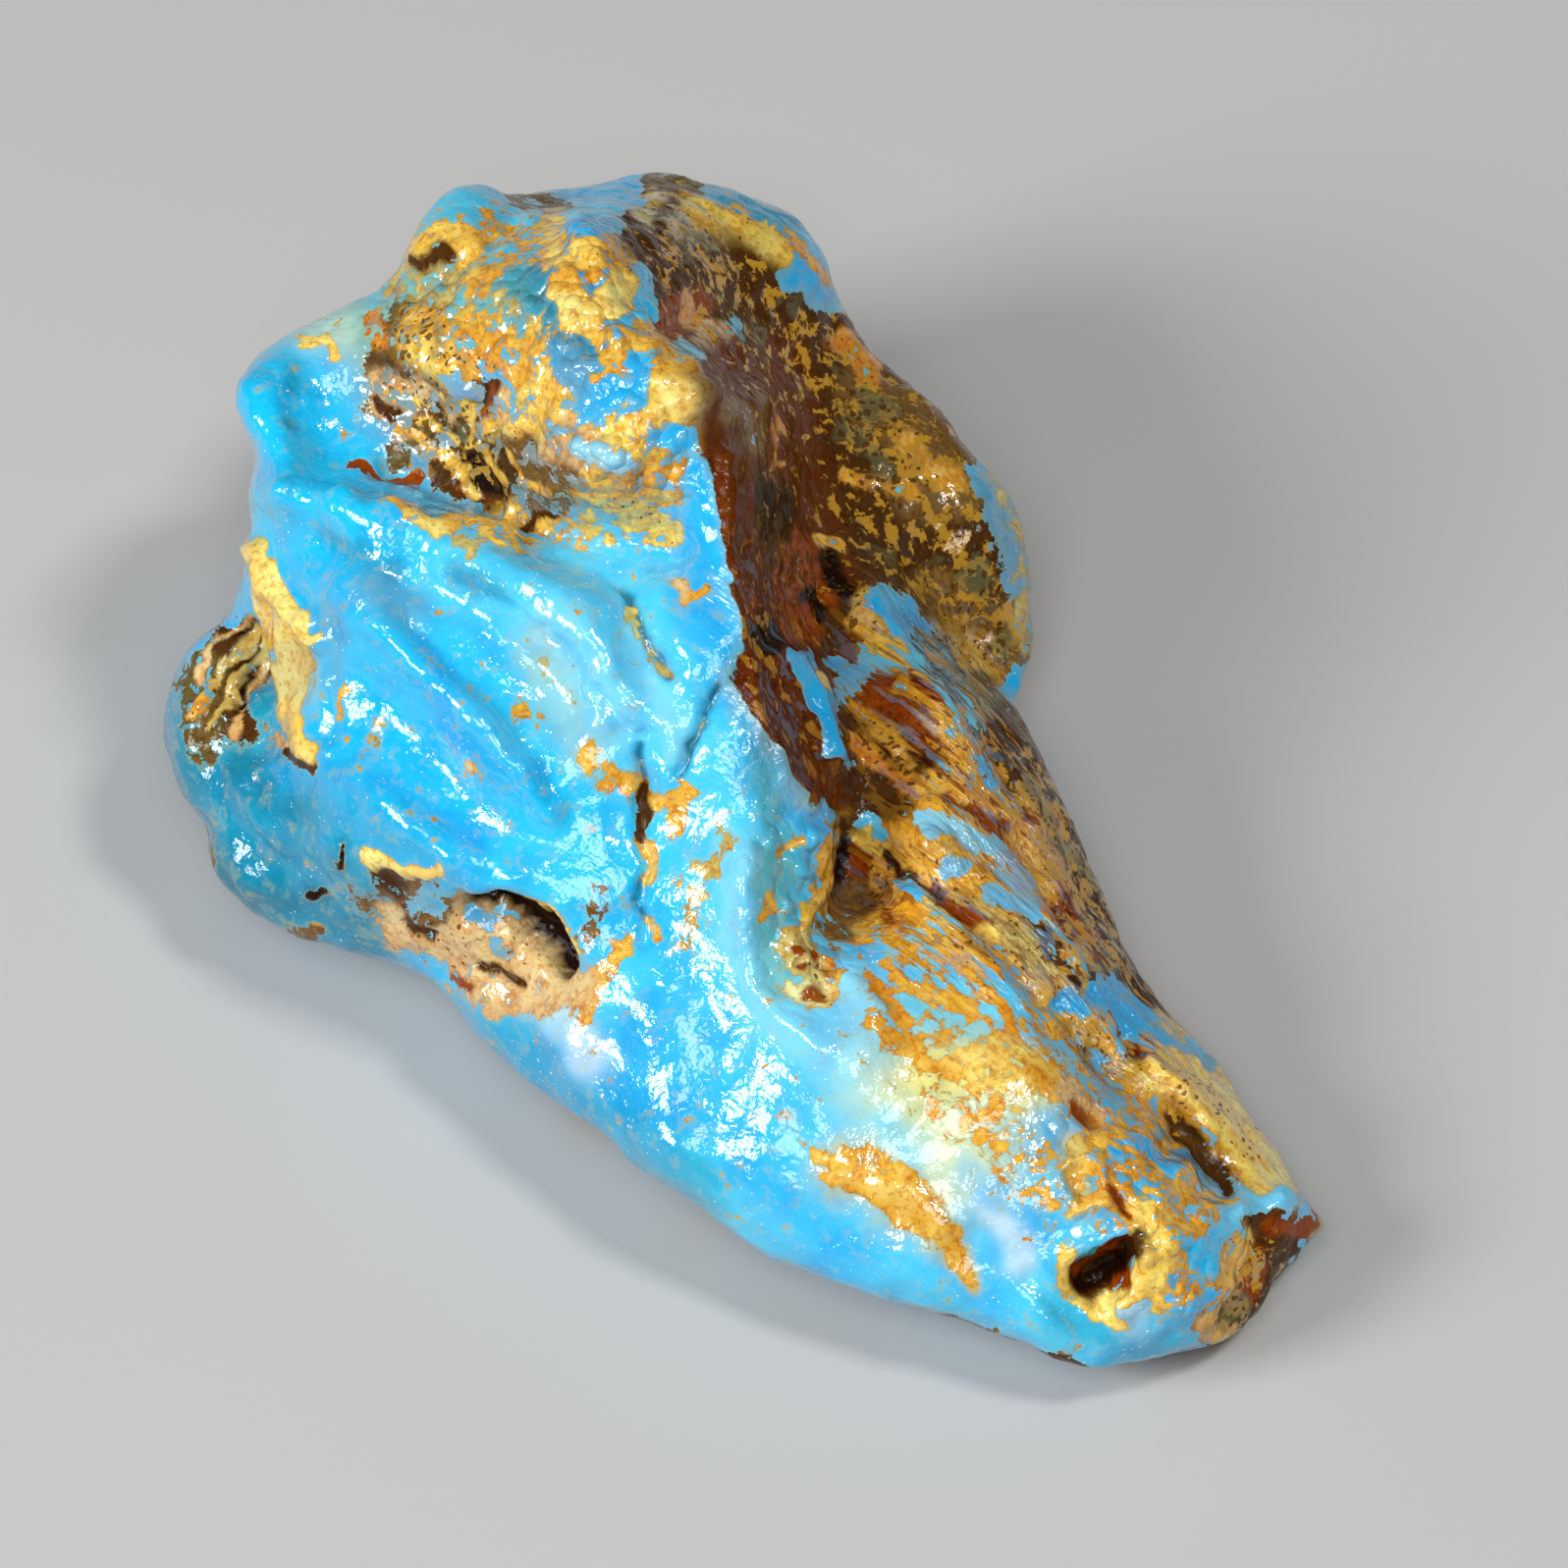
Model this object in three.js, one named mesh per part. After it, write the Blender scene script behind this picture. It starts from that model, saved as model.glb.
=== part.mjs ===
// A rough nugget of blue amber: one solid, a wedge-shaped lump that rests on a small flat of its
// underside. A tall knobbly head stands at the -X end, a long low tail runs out to +X, and a deep
// hollow along the +Y side parts the head from a lower lobe behind it.
//
// The form is measured as one photograph shows it, from above and to one side. Ridges and hollows
// are lines drawn over that view, each with its height towards the viewer, and a thin-plate spline
// carries the surface smoothly from line to line. The outline in the view, an outline seen from
// above and a rounded underside close the solid all round.
//
// Millimetres, +Z up, +X along the stone's length towards its tail, and the origin on the ground
// under the middle of the stone.

import * as THREE from "three";

// Driving dimensions.
const pixelSize = 0.042; // mm covered by one pixel of the photograph, at the stone's middle
const viewMiddle = 798.5; // pixel column and row that the view looks straight at
const viewDistance = 400; // mm from the viewpoint to the stone's middle
const viewElevation = THREE.MathUtils.degToRad(50); // of the line of sight above the ground
const viewTurn = THREE.MathUtils.degToRad(42); // from the view's horizontal to the stone's length
const groundDrop = 15; // mm from the middle of the view down to the ground
const planMiddle = { x: -3.21, y: 5.6 }; // mm from the middle of the view to the origin

const rimRadius = 2.2; // where the face turns over the outline of the view
const sideRadius = 2.2; // where it turns over the hidden sides
const widestHeight = 8.5; // above the ground, where the plan outline is measured
const crownHeight = 24; // above the ground, where the sides have closed in by crownInset
const crownInset = 1.6;
const footInset = 3.4; // how far the sides close in at the ground
const bellyMiddle = { x: -1, y: 2.5 }; // the lowest place, from the middle of the view
const bellyHalf = { x: 30, y: 15 }; // from there to where the underside has risen by bellyRise
const bellyRise = 2;
const bellyCut = 0.45; // how much of the belly is flattened where it rests
const bellyRadius = 1.3; // where the underside turns up into the sides
const lumpHeight = 0.35; // of the low swellings all over
const facetSize = 1.27; // edge of the facets
const splineRelax = 0.25; // how far the spline may pass beside a line's points
const lineStep = 45; // pixels between the points taken along a line

// The outline in the view, in pixels, clockwise from the dip beside the top knob.
const viewOutline = [
  [402, 280], [414, 241], [443, 200], [480, 180], [520, 189], [560, 192], [600, 188], [645, 174],
  [690, 175], [712, 189], [740, 188], [785, 205], [820, 228], [845, 262], [854, 305], [875, 342],
  [905, 372], [955, 412], [985, 460], [1025, 500], [1049, 555], [1052, 620], [1056, 670],
  [1048, 692], [1028, 716], [1055, 755], [1080, 805], [1102, 862], [1135, 940], [1175, 1015],
  [1225, 1060], [1250, 1090], [1272, 1135], [1305, 1177], [1340, 1218], [1361, 1252],
  [1340, 1276], [1311, 1297], [1292, 1346], [1265, 1373], [1230, 1379], [1185, 1395],
  [1130, 1411], [1070, 1387], [1000, 1352], [920, 1330], [850, 1309], [785, 1283], [720, 1235],
  [655, 1195], [615, 1155], [560, 1122], [505, 1075], [472, 1035], [458, 1008], [400, 980],
  [345, 967], [295, 956], [240, 918], [215, 895], [208, 838], [180, 800], [164, 740], [168, 705],
  [191, 657], [235, 627], [245, 595], [259, 548], [253, 495], [265, 475], [254, 430], [240, 393],
  [258, 357], [300, 336], [350, 308], [383, 296],
];

// The widest outline seen from above, in mm from the middle of the view, along and across the
// stone. On the side towards the viewer it lies outside the stone, which the view's own outline
// bounds there.
const planOutline = [
  [-29.5, -11], [-32, -7], [-33.6, -1.5], [-33.4, 3.5], [-32, 7], [-32.3, 11.5], [-30.6, 16],
  [-29.4, 20], [-26, 24.2], [-21, 25.8], [-15, 25], [-10, 26], [-5.5, 25], [-1, 23],
  [1.5, 18.8], [5, 16.4], [9.5, 14.8], [13.5, 13], [19, 13.2], [24.5, 12], [30, 11.5], [34, 5],
  [33, -6], [28, -14], [18, -20], [0, -23], [-20, -22], [-29, -17],
];

// Ridges, valleys and slopes of the visible side: pixel column, pixel row, and height in mm
// towards the viewer from the plane through the stone's middle.
const reliefLines = {
  cornerRim: [[250, 392, -6.2], [272, 430, -5.0], [285, 475, -4.2], [275, 505, -4.2]],
  cornerDish: [[300, 400, -6.6], [340, 440, -6.8], [380, 450, -6.2]],
  cornerTop: [[300, 350, -7.5], [350, 325, -7.5]],
  shoulderCrest: [
    [275, 505, -4.2], [345, 512, -2.6], [420, 542, -1.5], [500, 568, -0.4], [560, 600, 0.7],
    [610, 650, 1.7], [645, 715, 2.4], [690, 770, 2.8],
  ],
  topKnob: [[470, 200, -8.0], [480, 225, -7.0], [520, 225, -7.8]],
  topSaddle: [[560, 210, -10.5], [545, 235, -7.0]],
  domeLeft: [[400, 310, -6.2], [450, 300, -4.8], [500, 300, -3.4]],
  domeCrown: [[520, 265, -4.2], [570, 255, -3.4], [615, 240, -3.6]],
  domeBelly: [[545, 345, -1.0], [590, 395, 0.9], [630, 440, 2.1], [690, 430, 1.6]],
  domeBrow: [[655, 300, -2.2], [690, 350, -0.6], [725, 400, 0.2], [738, 450, 0.2]],
  domePocket: [[400, 380, -4.9], [430, 420, -4.4], [465, 465, -3.9]],
  domeFlank: [[480, 350, -3.2], [515, 400, -2.0], [555, 450, -0.6]],
  domeCrevice: [
    [370, 478, -4.6], [420, 495, -4.0], [480, 505, -3.4], [545, 530, -2.2], [610, 545, -0.8],
    [680, 560, 0.4],
  ],
  domeFoot: [[590, 495, 0.6], [650, 505, 1.2]],
  neck: [[700, 500, 0.8], [720, 560, 1.2], [725, 620, 1.8]],
  hollowLip: [[742, 480, 0.2], [744, 560, 1.0], [750, 640, 1.6], [768, 720, 2.2], [790, 790, 2.4]],
  hollowWall: [
    [705, 310, -6.0], [770, 400, -6.4], [785, 480, -5.6], [788, 560, -4.8], [798, 640, -4.2],
    [822, 720, -3.0], [850, 790, -1.4],
  ],
  hollowFloor: [[740, 330, -10.5], [800, 420, -11.5], [830, 520, -11.5], [850, 600, -10], [880, 690, -7]],
  lowerLip: [[800, 830, 2.6], [830, 860, 2.4], [800, 920, 3.4], [800, 990, 4.2]],
  blueFin: [[812, 668, -4.4], [838, 715, -3.2], [855, 765, -1.8]],
  resinPit: [[868, 850, -1.6], [865, 900, -0.9], [850, 930, 0.4]],
  flankKnob: [[890, 740, -4.2], [930, 770, -3.6], [920, 800, -3.0]],
  farTop: [[640, 190, -14.5], [700, 200, -14.0], [740, 240, -13.5], [800, 260, -14.5]],
  farNeck: [[800, 340, -15.5], [860, 380, -16.5]],
  farLobe: [[900, 440, -15.5], [960, 500, -15.5], [1000, 570, -16], [1020, 650, -17.5]],
  farGully: [[900, 540, -13.5], [950, 610, -15.5], [1000, 680, -17.5]],
  flankRim: [[880, 600, -8.4], [940, 660, -8.0], [990, 710, -7.8], [1040, 770, -7.6], [1085, 850, -7.0]],
  flankMiddle: [[930, 700, -5.5], [990, 780, -4.4], [1040, 860, -3.2], [1090, 950, -1.6], [1140, 1030, 0]],
  flankFoot: [
    [1110, 920, -5.5], [1160, 1010, -4.0], [1210, 1070, -2.4], [1260, 1130, -1.2],
    [1320, 1210, 0], [1345, 1250, 0.6],
  ],
  backRidge: [
    [930, 850, -0.2], [1000, 920, 1.2], [1060, 1000, 2.6], [1110, 1080, 3.6], [1180, 1170, 4.4],
    [1240, 1230, 4.8],
  ],
  tailGroove: [[1140, 1080, 1.6], [1190, 1150, 2.4], [1245, 1200, 3.0]],
  yellowLobe: [[1170, 1060, 0.8], [1220, 1110, 1.4], [1270, 1170, 2.0], [1310, 1220, 2.4]],
  tailCrest: [
    [860, 1000, 4.4], [930, 1060, 5.4], [1000, 1130, 6.4], [1070, 1200, 7.2], [1130, 1240, 7.6],
    [1190, 1290, 7.4],
  ],
  tailSlope: [
    [700, 1010, 3.6], [780, 1120, 5.0], [880, 1210, 6.2], [980, 1280, 6.8], [1080, 1330, 7.0],
    [1150, 1360, 6.4],
  ],
  tailEnd: [[1230, 1280, 6.0], [1250, 1330, 4.6], [1290, 1290, 3.0]],
  frontRim: [[755, 880, 3.6], [760, 960, 4.0], [785, 1020, 4.6]],
  upperFold: [[350, 610, -1.0], [400, 650, 0.4], [470, 720, 1.6], [535, 795, 2.3]],
  foldGap: [[400, 590, -1.3], [480, 640, 0.1], [560, 720, 1.3], [600, 770, 1.8]],
  foldDip: [[345, 680, -1.7], [420, 760, -0.3], [500, 840, 1.1], [590, 890, 2.0]],
  lowerFold: [[330, 770, -1.8], [400, 840, 0.2], [470, 890, 1.2], [560, 930, 2.0]],
  fissure: [[645, 600, 1.2], [648, 780, 2.2], [652, 860, 2.4], [650, 950, 2.6], [600, 1010, 2.4]],
  lowerField: [[700, 850, 3.2], [700, 940, 3.2], [640, 1040, 2.8]],
  rind: [[400, 930, -3.2], [470, 955, -1.8], [540, 985, -0.2]],
  foot: [[330, 940, -4.8], [440, 1000, -3.4], [500, 1050, -1.2], [570, 1100, 1.2], [650, 1170, 3.2]],
  leftLobe: [[200, 730, -8.2], [235, 790, -6.2], [280, 850, -4.6], [330, 890, -3.8]],
  leftPit: [[225, 680, -8.0], [265, 690, -7.2], [270, 740, -6.0]],
  yellowFold: [[262, 570, -6.2], [290, 630, -5.2], [310, 700, -4.2], [312, 755, -3.6]],
  leftBlue: [[300, 545, -4.2], [325, 600, -3.0], [338, 660, -3.0]],
  leftFoot: [[240, 880, -7.2], [290, 920, -6.2]],
};

// Sharp edges and clefts of the visible side: the pixels that each runs through, its half width
// and its height in mm, negative where it cuts in.
const creases = {
  shoulderEdge: {
    at: [[285, 500], [345, 512], [420, 540], [500, 566], [560, 600], [610, 655], [650, 725], [700, 770]],
    width: 1.3, height: 0.8,
  },
  domeCleft: {
    at: [[395, 470], [440, 492], [500, 508], [560, 535], [620, 552], [690, 566]],
    width: 1.2, height: -0.9,
  },
  hollowLip: {
    at: [[745, 470], [742, 540], [748, 610], [760, 680], [780, 750], [812, 812]],
    width: 1.1, height: 0.7,
  },
  frontEdge: {
    at: [[762, 860], [758, 930], [766, 1000], [795, 1035], [850, 1080], [905, 1130]],
    width: 1.1, height: 0.6,
  },
  upperFoldEdge: {
    at: [[350, 612], [400, 650], [450, 700], [500, 765], [535, 800]],
    width: 1.3, height: 0.6,
  },
  lowerFoldEdge: { at: [[350, 790], [400, 830], [450, 870], [520, 905]], width: 1.4, height: 0.6 },
  faceFissure: { at: [[641, 600], [655, 660], [650, 740], [652, 850], [650, 950]], width: 1.0, height: -0.6 },
  neckCrack: { at: [[735, 703], [712, 728], [700, 760]], width: 0.9, height: -0.6 },
  rindCleft: { at: [[482, 918], [520, 915], [550, 935], [578, 975]], width: 1.0, height: -1.3 },
  rindLip: { at: [[470, 896], [530, 893], [572, 920], [597, 965]], width: 0.9, height: 0.6 },
  yellowEdge: { at: [[258, 560], [285, 600], [325, 640], [322, 700], [305, 755]], width: 0.9, height: 0.7 },
  lobeCleft: { at: [[262, 640], [285, 700], [262, 765], [300, 775]], width: 1.0, height: -0.7 },
  cornerEdge: { at: [[262, 400], [285, 440], [282, 490]], width: 1.0, height: 0.6 },
  cornerCleft: { at: [[375, 340], [385, 400], [350, 470]], width: 1.1, height: -0.6 },
  knobCleft: { at: [[405, 290], [455, 250], [520, 225], [575, 215]], width: 1.1, height: -0.9 },
  browCleft: { at: [[660, 250], [690, 320], [735, 370]], width: 1.0, height: -0.7 },
  finEdge: { at: [[805, 672], [830, 705], [852, 760]], width: 0.8, height: 0.9 },
  finCleft: { at: [[858, 690], [862, 750], [870, 810]], width: 0.9, height: -0.7 },
  resinEdge: { at: [[838, 850], [830, 900], [812, 950]], width: 0.9, height: 0.6 },
  tailCleft: { at: [[1140, 1080], [1190, 1150], [1250, 1203]], width: 1.0, height: -0.8 },
  tailLedge: { at: [[1150, 1045], [1215, 1090], [1262, 1150], [1310, 1205]], width: 1.0, height: 0.5 },
  flankFold: { at: [[905, 880], [960, 900], [1020, 950], [1085, 1020]], width: 0.9, height: -0.5 },
  flankEdge: { at: [[950, 845], [1010, 880], [1070, 940], [1130, 1010]], width: 0.9, height: 0.5 },
  tailRing: {
    at: [[1080, 1190], [1105, 1175], [1130, 1190], [1128, 1222], [1100, 1236], [1080, 1215]],
    width: 0.8, height: 0.5,
  },
  pitRim: { at: [[1085, 1285], [1120, 1250], [1165, 1265], [1160, 1310]], width: 0.9, height: 0.6 },
  farCleft: { at: [[855, 320], [862, 360], [900, 400]], width: 1.1, height: -0.8 },
};

// Pits in the visible side: the pixel at the middle, the radius and the depth in mm.
const pits = {
  tailPit: { at: [1126, 1290], radius: 1.7, depth: 2.2 },
  ringPit: { at: [1105, 1205], radius: 1.6, depth: 0.8 },
  resinWell: { at: [862, 900], radius: 2.0, depth: 1.6 },
  rindCrevice: { at: [540, 935], radius: 1.7, depth: 1.3 },
  fibrePit: { at: [250, 685], radius: 2.0, depth: 1.2 },
  crownDimple: { at: [600, 345], radius: 1.8, depth: 0.7 },
};

// Bumps and dents of the sides that the view hides: the middle in mm from the middle of the view,
// along, across and above the ground, then the radius and how far the surface stands out there.
const hiddenForms = [
  [-32, 2, 14, 5, 1.4], [-30, 13, 6, 5, 1.6], [-29, 9, 17, 4.5, -1.6], [-31, -4, 5, 4, -1.4],
  [-26, 23, 14, 5, 1.5], [-19, 26, 6, 5, -1.8], [-15, 26, 12, 4, 1.0], [-9, 26, 5, 5, 1.4],
  [-2, 21, 8, 4, -1.2], [6, 15, 3, 4, 1.0], [15, 11.5, 4, 4, -0.9], [23, 9, 2, 3.5, 0.8],
  [-24, 24, 3, 4.5, 1.2], [-29, 20, 5, 4, -1.2], [-33, 6, 8, 3.5, -1.0],
];

// Waves whose sum makes the low swellings: cycles per mm along x, y and z, and a phase.
const swellings = [
  [0.071, 0.043, 0.052, 0.3], [-0.049, 0.082, 0.037, 1.9], [0.036, -0.058, 0.088, 4.1],
  [0.118, 0.061, -0.074, 2.6], [-0.083, 0.127, 0.091, 5.2], [0.064, -0.109, 0.132, 0.9],
  [0.171, 0.092, 0.118, 3.3], [-0.132, 0.168, -0.104, 1.2],
];

const acrossOf = (column) => (column - viewMiddle) * pixelSize;
const upOf = (row) => (viewMiddle - row) * pixelSize;

// From a point on or over the ground to the view: across, up and towards the viewer, in mm, with
// across and up as they appear from the viewpoint.
const sinElevation = Math.sin(viewElevation);
const cosElevation = Math.cos(viewElevation);
const sinTurn = Math.sin(viewTurn);
const cosTurn = Math.cos(viewTurn);

function toView(along, sideways, z) {
  const across = along * cosTurn + sideways * sinTurn;
  const away = sideways * cosTurn - along * sinTurn;
  const height = z - groundDrop;
  const near = height * sinElevation - away * cosElevation;
  const scale = viewDistance / (viewDistance - near);
  return [across * scale, (away * sinElevation + height * cosElevation) * scale, near];
}

// Signed distance in mm from (x, y) to a closed outline, negative inside.
function outlineDistance(outline, x, y) {
  let nearest = Infinity;
  let inside = false;
  outline.forEach(([bx, by], i) => {
    const [ax, ay] = outline.at(i - 1);
    const ex = bx - ax;
    const ey = by - ay;
    const t = THREE.MathUtils.clamp(((x - ax) * ex + (y - ay) * ey) / (ex * ex + ey * ey), 0, 1);
    nearest = Math.min(nearest, Math.hypot(x - ax - ex * t, y - ay - ey * t));
    if (ay > y !== by > y && x < (ex * (y - ay)) / ey + ax) inside = !inside;
  });
  return inside ? -nearest : nearest;
}

// Distance in mm from (x, y) to a line of points.
function lineDistance(line, x, y) {
  let nearest = Infinity;
  for (let i = 1; i < line.length; i += 1) {
    const [ax, ay] = line[i - 1];
    const ex = line[i][0] - ax;
    const ey = line[i][1] - ay;
    const t = THREE.MathUtils.clamp(((x - ax) * ex + (y - ay) * ey) / (ex * ex + ey * ey), 0, 1);
    nearest = Math.min(nearest, Math.hypot(x - ax - ex * t, y - ay - ey * t));
  }
  return nearest;
}

// The larger of two distances, with the edge between them rounded to a radius.
function roundedCut(a, b, radius) {
  const overA = Math.max(a + radius, 0);
  const overB = Math.max(b + radius, 0);
  return Math.min(Math.max(a, b), -radius) + Math.hypot(overA, overB);
}

// The points that the spline passes through, at even steps along a line of [column, row, height].
function pointsAlong(line) {
  const points = [];
  line.forEach(([column, row, height], i) => {
    const [nextColumn, nextRow, nextHeight] = line[i + 1] ?? line[i];
    const span = Math.hypot(nextColumn - column, nextRow - row);
    const steps = Math.max(1, Math.round(span / lineStep));
    for (let step = 0; step < steps; step += 1) {
      const t = step / steps;
      const middle = [column + (nextColumn - column) * t, row + (nextRow - row) * t];
      points.push([acrossOf(middle[0]), upOf(middle[1]), height + (nextHeight - height) * t]);
    }
  });
  return points;
}

// Solves a square system by elimination; each row ends with its right-hand side.
function solve(rows) {
  const size = rows.length;
  for (let i = 0; i < size; i += 1) {
    let pivot = i;
    for (let k = i + 1; k < size; k += 1) {
      if (Math.abs(rows[k][i]) > Math.abs(rows[pivot][i])) pivot = k;
    }
    [rows[i], rows[pivot]] = [rows[pivot], rows[i]];
    for (let k = i + 1; k < size; k += 1) {
      const share = rows[k][i] / rows[i][i];
      for (let j = i; j <= size; j += 1) rows[k][j] -= share * rows[i][j];
    }
  }
  const answer = new Array(size).fill(0);
  for (let i = size - 1; i >= 0; i -= 1) {
    let rest = rows[i][size];
    for (let j = i + 1; j < size; j += 1) rest -= rows[i][j] * answer[j];
    answer[i] = rest / rows[i][i];
  }
  return answer;
}

// A thin-plate spline through points (x, y, height): the smoothest surface that meets them.
function thinPlate(points) {
  const bend = (p, x, y) => {
    const squared = (x - p[0]) ** 2 + (y - p[1]) ** 2 + 1e-9;
    return 0.5 * squared * Math.log(squared);
  };
  const rows = points.map((p, i) => {
    const bends = points.map((q) => bend(q, p[0], p[1]));
    bends[i] += splineRelax;
    return [...bends, 1, p[0], p[1], p[2]];
  });
  rows.push([...points.map(() => 1), 0, 0, 0, 0]);
  rows.push([...points.map((p) => p[0]), 0, 0, 0, 0]);
  rows.push([...points.map((p) => p[1]), 0, 0, 0, 0]);
  const weights = solve(rows);
  const [level, slopeX, slopeY] = weights.slice(points.length);
  return (x, y) => {
    let height = level + slopeX * x + slopeY * y;
    points.forEach((p, i) => {
      height += weights[i] * bend(p, x, y);
    });
    return height;
  };
}

const relief = thinPlate(Object.values(reliefLines).flatMap(pointsAlong));
const viewRim = viewOutline.map(([column, row]) => [acrossOf(column), upOf(row)]);

const creaseLines = Object.values(creases).map(({ at, width, height }) => {
  return { line: at.map(([column, row]) => [acrossOf(column), upOf(row)]), width, height };
});

// How far the creases bring the face towards the viewer and the pits take it back.
function creaseHeight(across, up) {
  let height = 0;
  for (const { line, width, height: highest } of creaseLines) {
    const away = lineDistance(line, across, up) / width;
    if (away < 3) height += highest * Math.exp(-away * away);
  }
  for (const { at, radius, depth } of Object.values(pits)) {
    const away = Math.hypot(across - acrossOf(at[0]), up - upOf(at[1])) / radius;
    height -= depth * Math.exp(-away * away);
  }
  return height;
}

// How far the low swellings stand out, all over the stone.
function swellingHeight(along, sideways, z) {
  let sum = 0;
  for (const [kx, ky, kz, phase] of swellings) {
    sum += Math.sin(2 * Math.PI * (kx * along + ky * sideways + kz * z) + phase);
  }
  return (lumpHeight * sum) / Math.sqrt(swellings.length);
}

// How far the hidden sides stand out in their own bumps and dents.
function hiddenHeight(along, sideways, z) {
  let height = 0;
  for (const [x, y, above, radius, out] of hiddenForms) {
    const away = Math.hypot(along - x, sideways - y, z - above) / radius;
    height += out * Math.exp(-away * away);
  }
  return height;
}

// How far the sides close in, at a height above the ground.
function sideInset(z) {
  const below = Math.max(1 - z / widestHeight, 0);
  const above = Math.max((z - widestHeight) / (crownHeight - widestHeight), 0);
  return footInset * below ** 2 + crownInset * above ** 2;
}

// The stone before it is flattened where it rests: roughly the distance in mm from a point to
// its surface, negative inside. The point is given from the row's origin.
function roundStone(x, y, z) {
  const along = x + planMiddle.x;
  const sideways = y + planMiddle.y;
  const [across, up, near] = toView(along, sideways, z);
  const swelling = swellingHeight(along, sideways, z);
  const face = near - relief(across, up) - creaseHeight(across, up) - swelling;
  const seen = roundedCut(face, outlineDistance(viewRim, across, up), rimRadius);
  const bulge = swelling + hiddenHeight(along, sideways, z);
  const side = outlineDistance(planOutline, along, sideways) + sideInset(z) - bulge;
  const spread = ((along - bellyMiddle.x) / bellyHalf.x) ** 2
    + ((sideways - bellyMiddle.y) / bellyHalf.y) ** 2;
  const belly = bellyRise * spread - bellyCut - z - swelling;
  return roundedCut(roundedCut(seen, side, sideRadius), belly, bellyRadius);
}

const stone = (x, y, z) => Math.max(roundStone(x, y, z), -z);

// Steps a point onto a surface where a field is zero, moving along the given axes only.
function drawOnto(field, point, axes) {
  const reach = 0.02;
  for (let step = 0; step < 3; step += 1) {
    const value = field(...point);
    const slope = axes.map((axis) => {
      const ahead = [...point];
      ahead[axis] += reach;
      return (field(...ahead) - value) / reach;
    });
    const steepness = slope.reduce((sum, s) => sum + s * s, 0);
    if (steepness < 0.05) return;
    axes.forEach((axis, n) => {
      const move = (-value * slope[n]) / steepness;
      point[axis] += THREE.MathUtils.clamp(move, -facetSize / 3, facetSize / 3);
    });
  }
}

// Where the stone, or the air round it, would meet itself at a point or an edge inside one grid
// cell, the nearest empty corner of that cell is filled, so that the net stays one clean skin.
function fillPinches(value, strides, eachNode, isCell) {
  const corners = [0, 1, 2, 3, 4, 5, 6, 7];
  const offset = (c) => (c & 1) * strides[0] + ((c >> 1) & 1) * strides[1] + (c >> 2) * strides[2];
  const holdsTogether = (chosen) => {
    const reached = new Set(chosen.slice(0, 1));
    for (const c of reached) {
      for (const bit of [1, 2, 4]) if (chosen.includes(c ^ bit)) reached.add(c ^ bit);
    }
    return reached.size === chosen.length;
  };
  let filled = true;
  while (filled) {
    filled = false;
    eachNode((cell, n) => {
      if (!isCell(cell)) return;
      const empty = corners.filter((c) => value[n + offset(c)] >= 0);
      if (empty.length === 0 || empty.length === 8) return;
      const full = corners.filter((c) => !empty.includes(c));
      if (holdsTogether(empty) && holdsTogether(full)) return;
      const nodes = empty.map((c) => n + offset(c));
      nodes.sort((a, b) => value[a] - value[b]);
      value[nodes[0]] = -0.001;
      filled = true;
    });
  }
}

// A net over the surface: one corner in each cell that the surface crosses, and one four-sided
// face for each edge between a cell corner inside the stone and one outside.
function surfaceNet(low, high) {
  const count = low.map((start, axis) => Math.ceil((high[axis] - start) / facetSize) + 1);
  const strides = [1, count[0], count[0] * count[1]];
  const value = new Float64Array(count[0] * count[1] * count[2]);
  const eachNode = (visit) => {
    for (let k = 0; k < count[2]; k += 1) {
      for (let j = 0; j < count[1]; j += 1) {
        for (let i = 0; i < count[0]; i += 1) visit([i, j, k], i + j * strides[1] + k * strides[2]);
      }
    }
  };
  eachNode((cell, n) => {
    value[n] = stone(...cell.map((step, axis) => low[axis] + step * facetSize));
  });
  const isCell = (cell) => cell.every((step, axis) => step < count[axis] - 1);
  fillPinches(value, strides, eachNode, isCell);

  const corners = [];
  const cornerOf = new Map();
  const cubeEdges = [0, 1, 2].flatMap((axis) => {
    const [other, third] = [(axis + 1) % 3, (axis + 2) % 3];
    return [[0, 0], [1, 0], [0, 1], [1, 1]].map(([a, b]) => {
      const start = [0, 0, 0];
      start[other] = a;
      start[third] = b;
      return [axis, start];
    });
  });
  eachNode((cell, n) => {
    if (!isCell(cell)) return;
    const sum = [0, 0, 0];
    let crossings = 0;
    for (const [axis, start] of cubeEdges) {
      const from = n + start[0] + start[1] * strides[1] + start[2] * strides[2];
      const a = value[from];
      const b = value[from + strides[axis]];
      if (a < 0 !== b < 0) {
        start.forEach((offset, m) => {
          sum[m] += offset + (m === axis ? a / (a - b) : 0);
        });
        crossings += 1;
      }
    }
    if (crossings === 0) return;
    cornerOf.set(n, corners.length);
    corners.push(sum.map((s, axis) => low[axis] + (cell[axis] + s / crossings) * facetSize));
  });

  const faces = [];
  eachNode((cell, n) => {
    for (const axis of [0, 1, 2]) {
      const [b, c] = [strides[(axis + 1) % 3], strides[(axis + 2) % 3]];
      const next = n + strides[axis];
      if (cell[axis] < count[axis] - 1 && value[n] < 0 !== value[next] < 0) {
        const ring = [n - b - c, n - c, n, n - b].map((m) => cornerOf.get(m));
        faces.push(value[n] < 0 ? ring : ring.reverse());
      }
    }
  });
  return { corners, faces };
}

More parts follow.
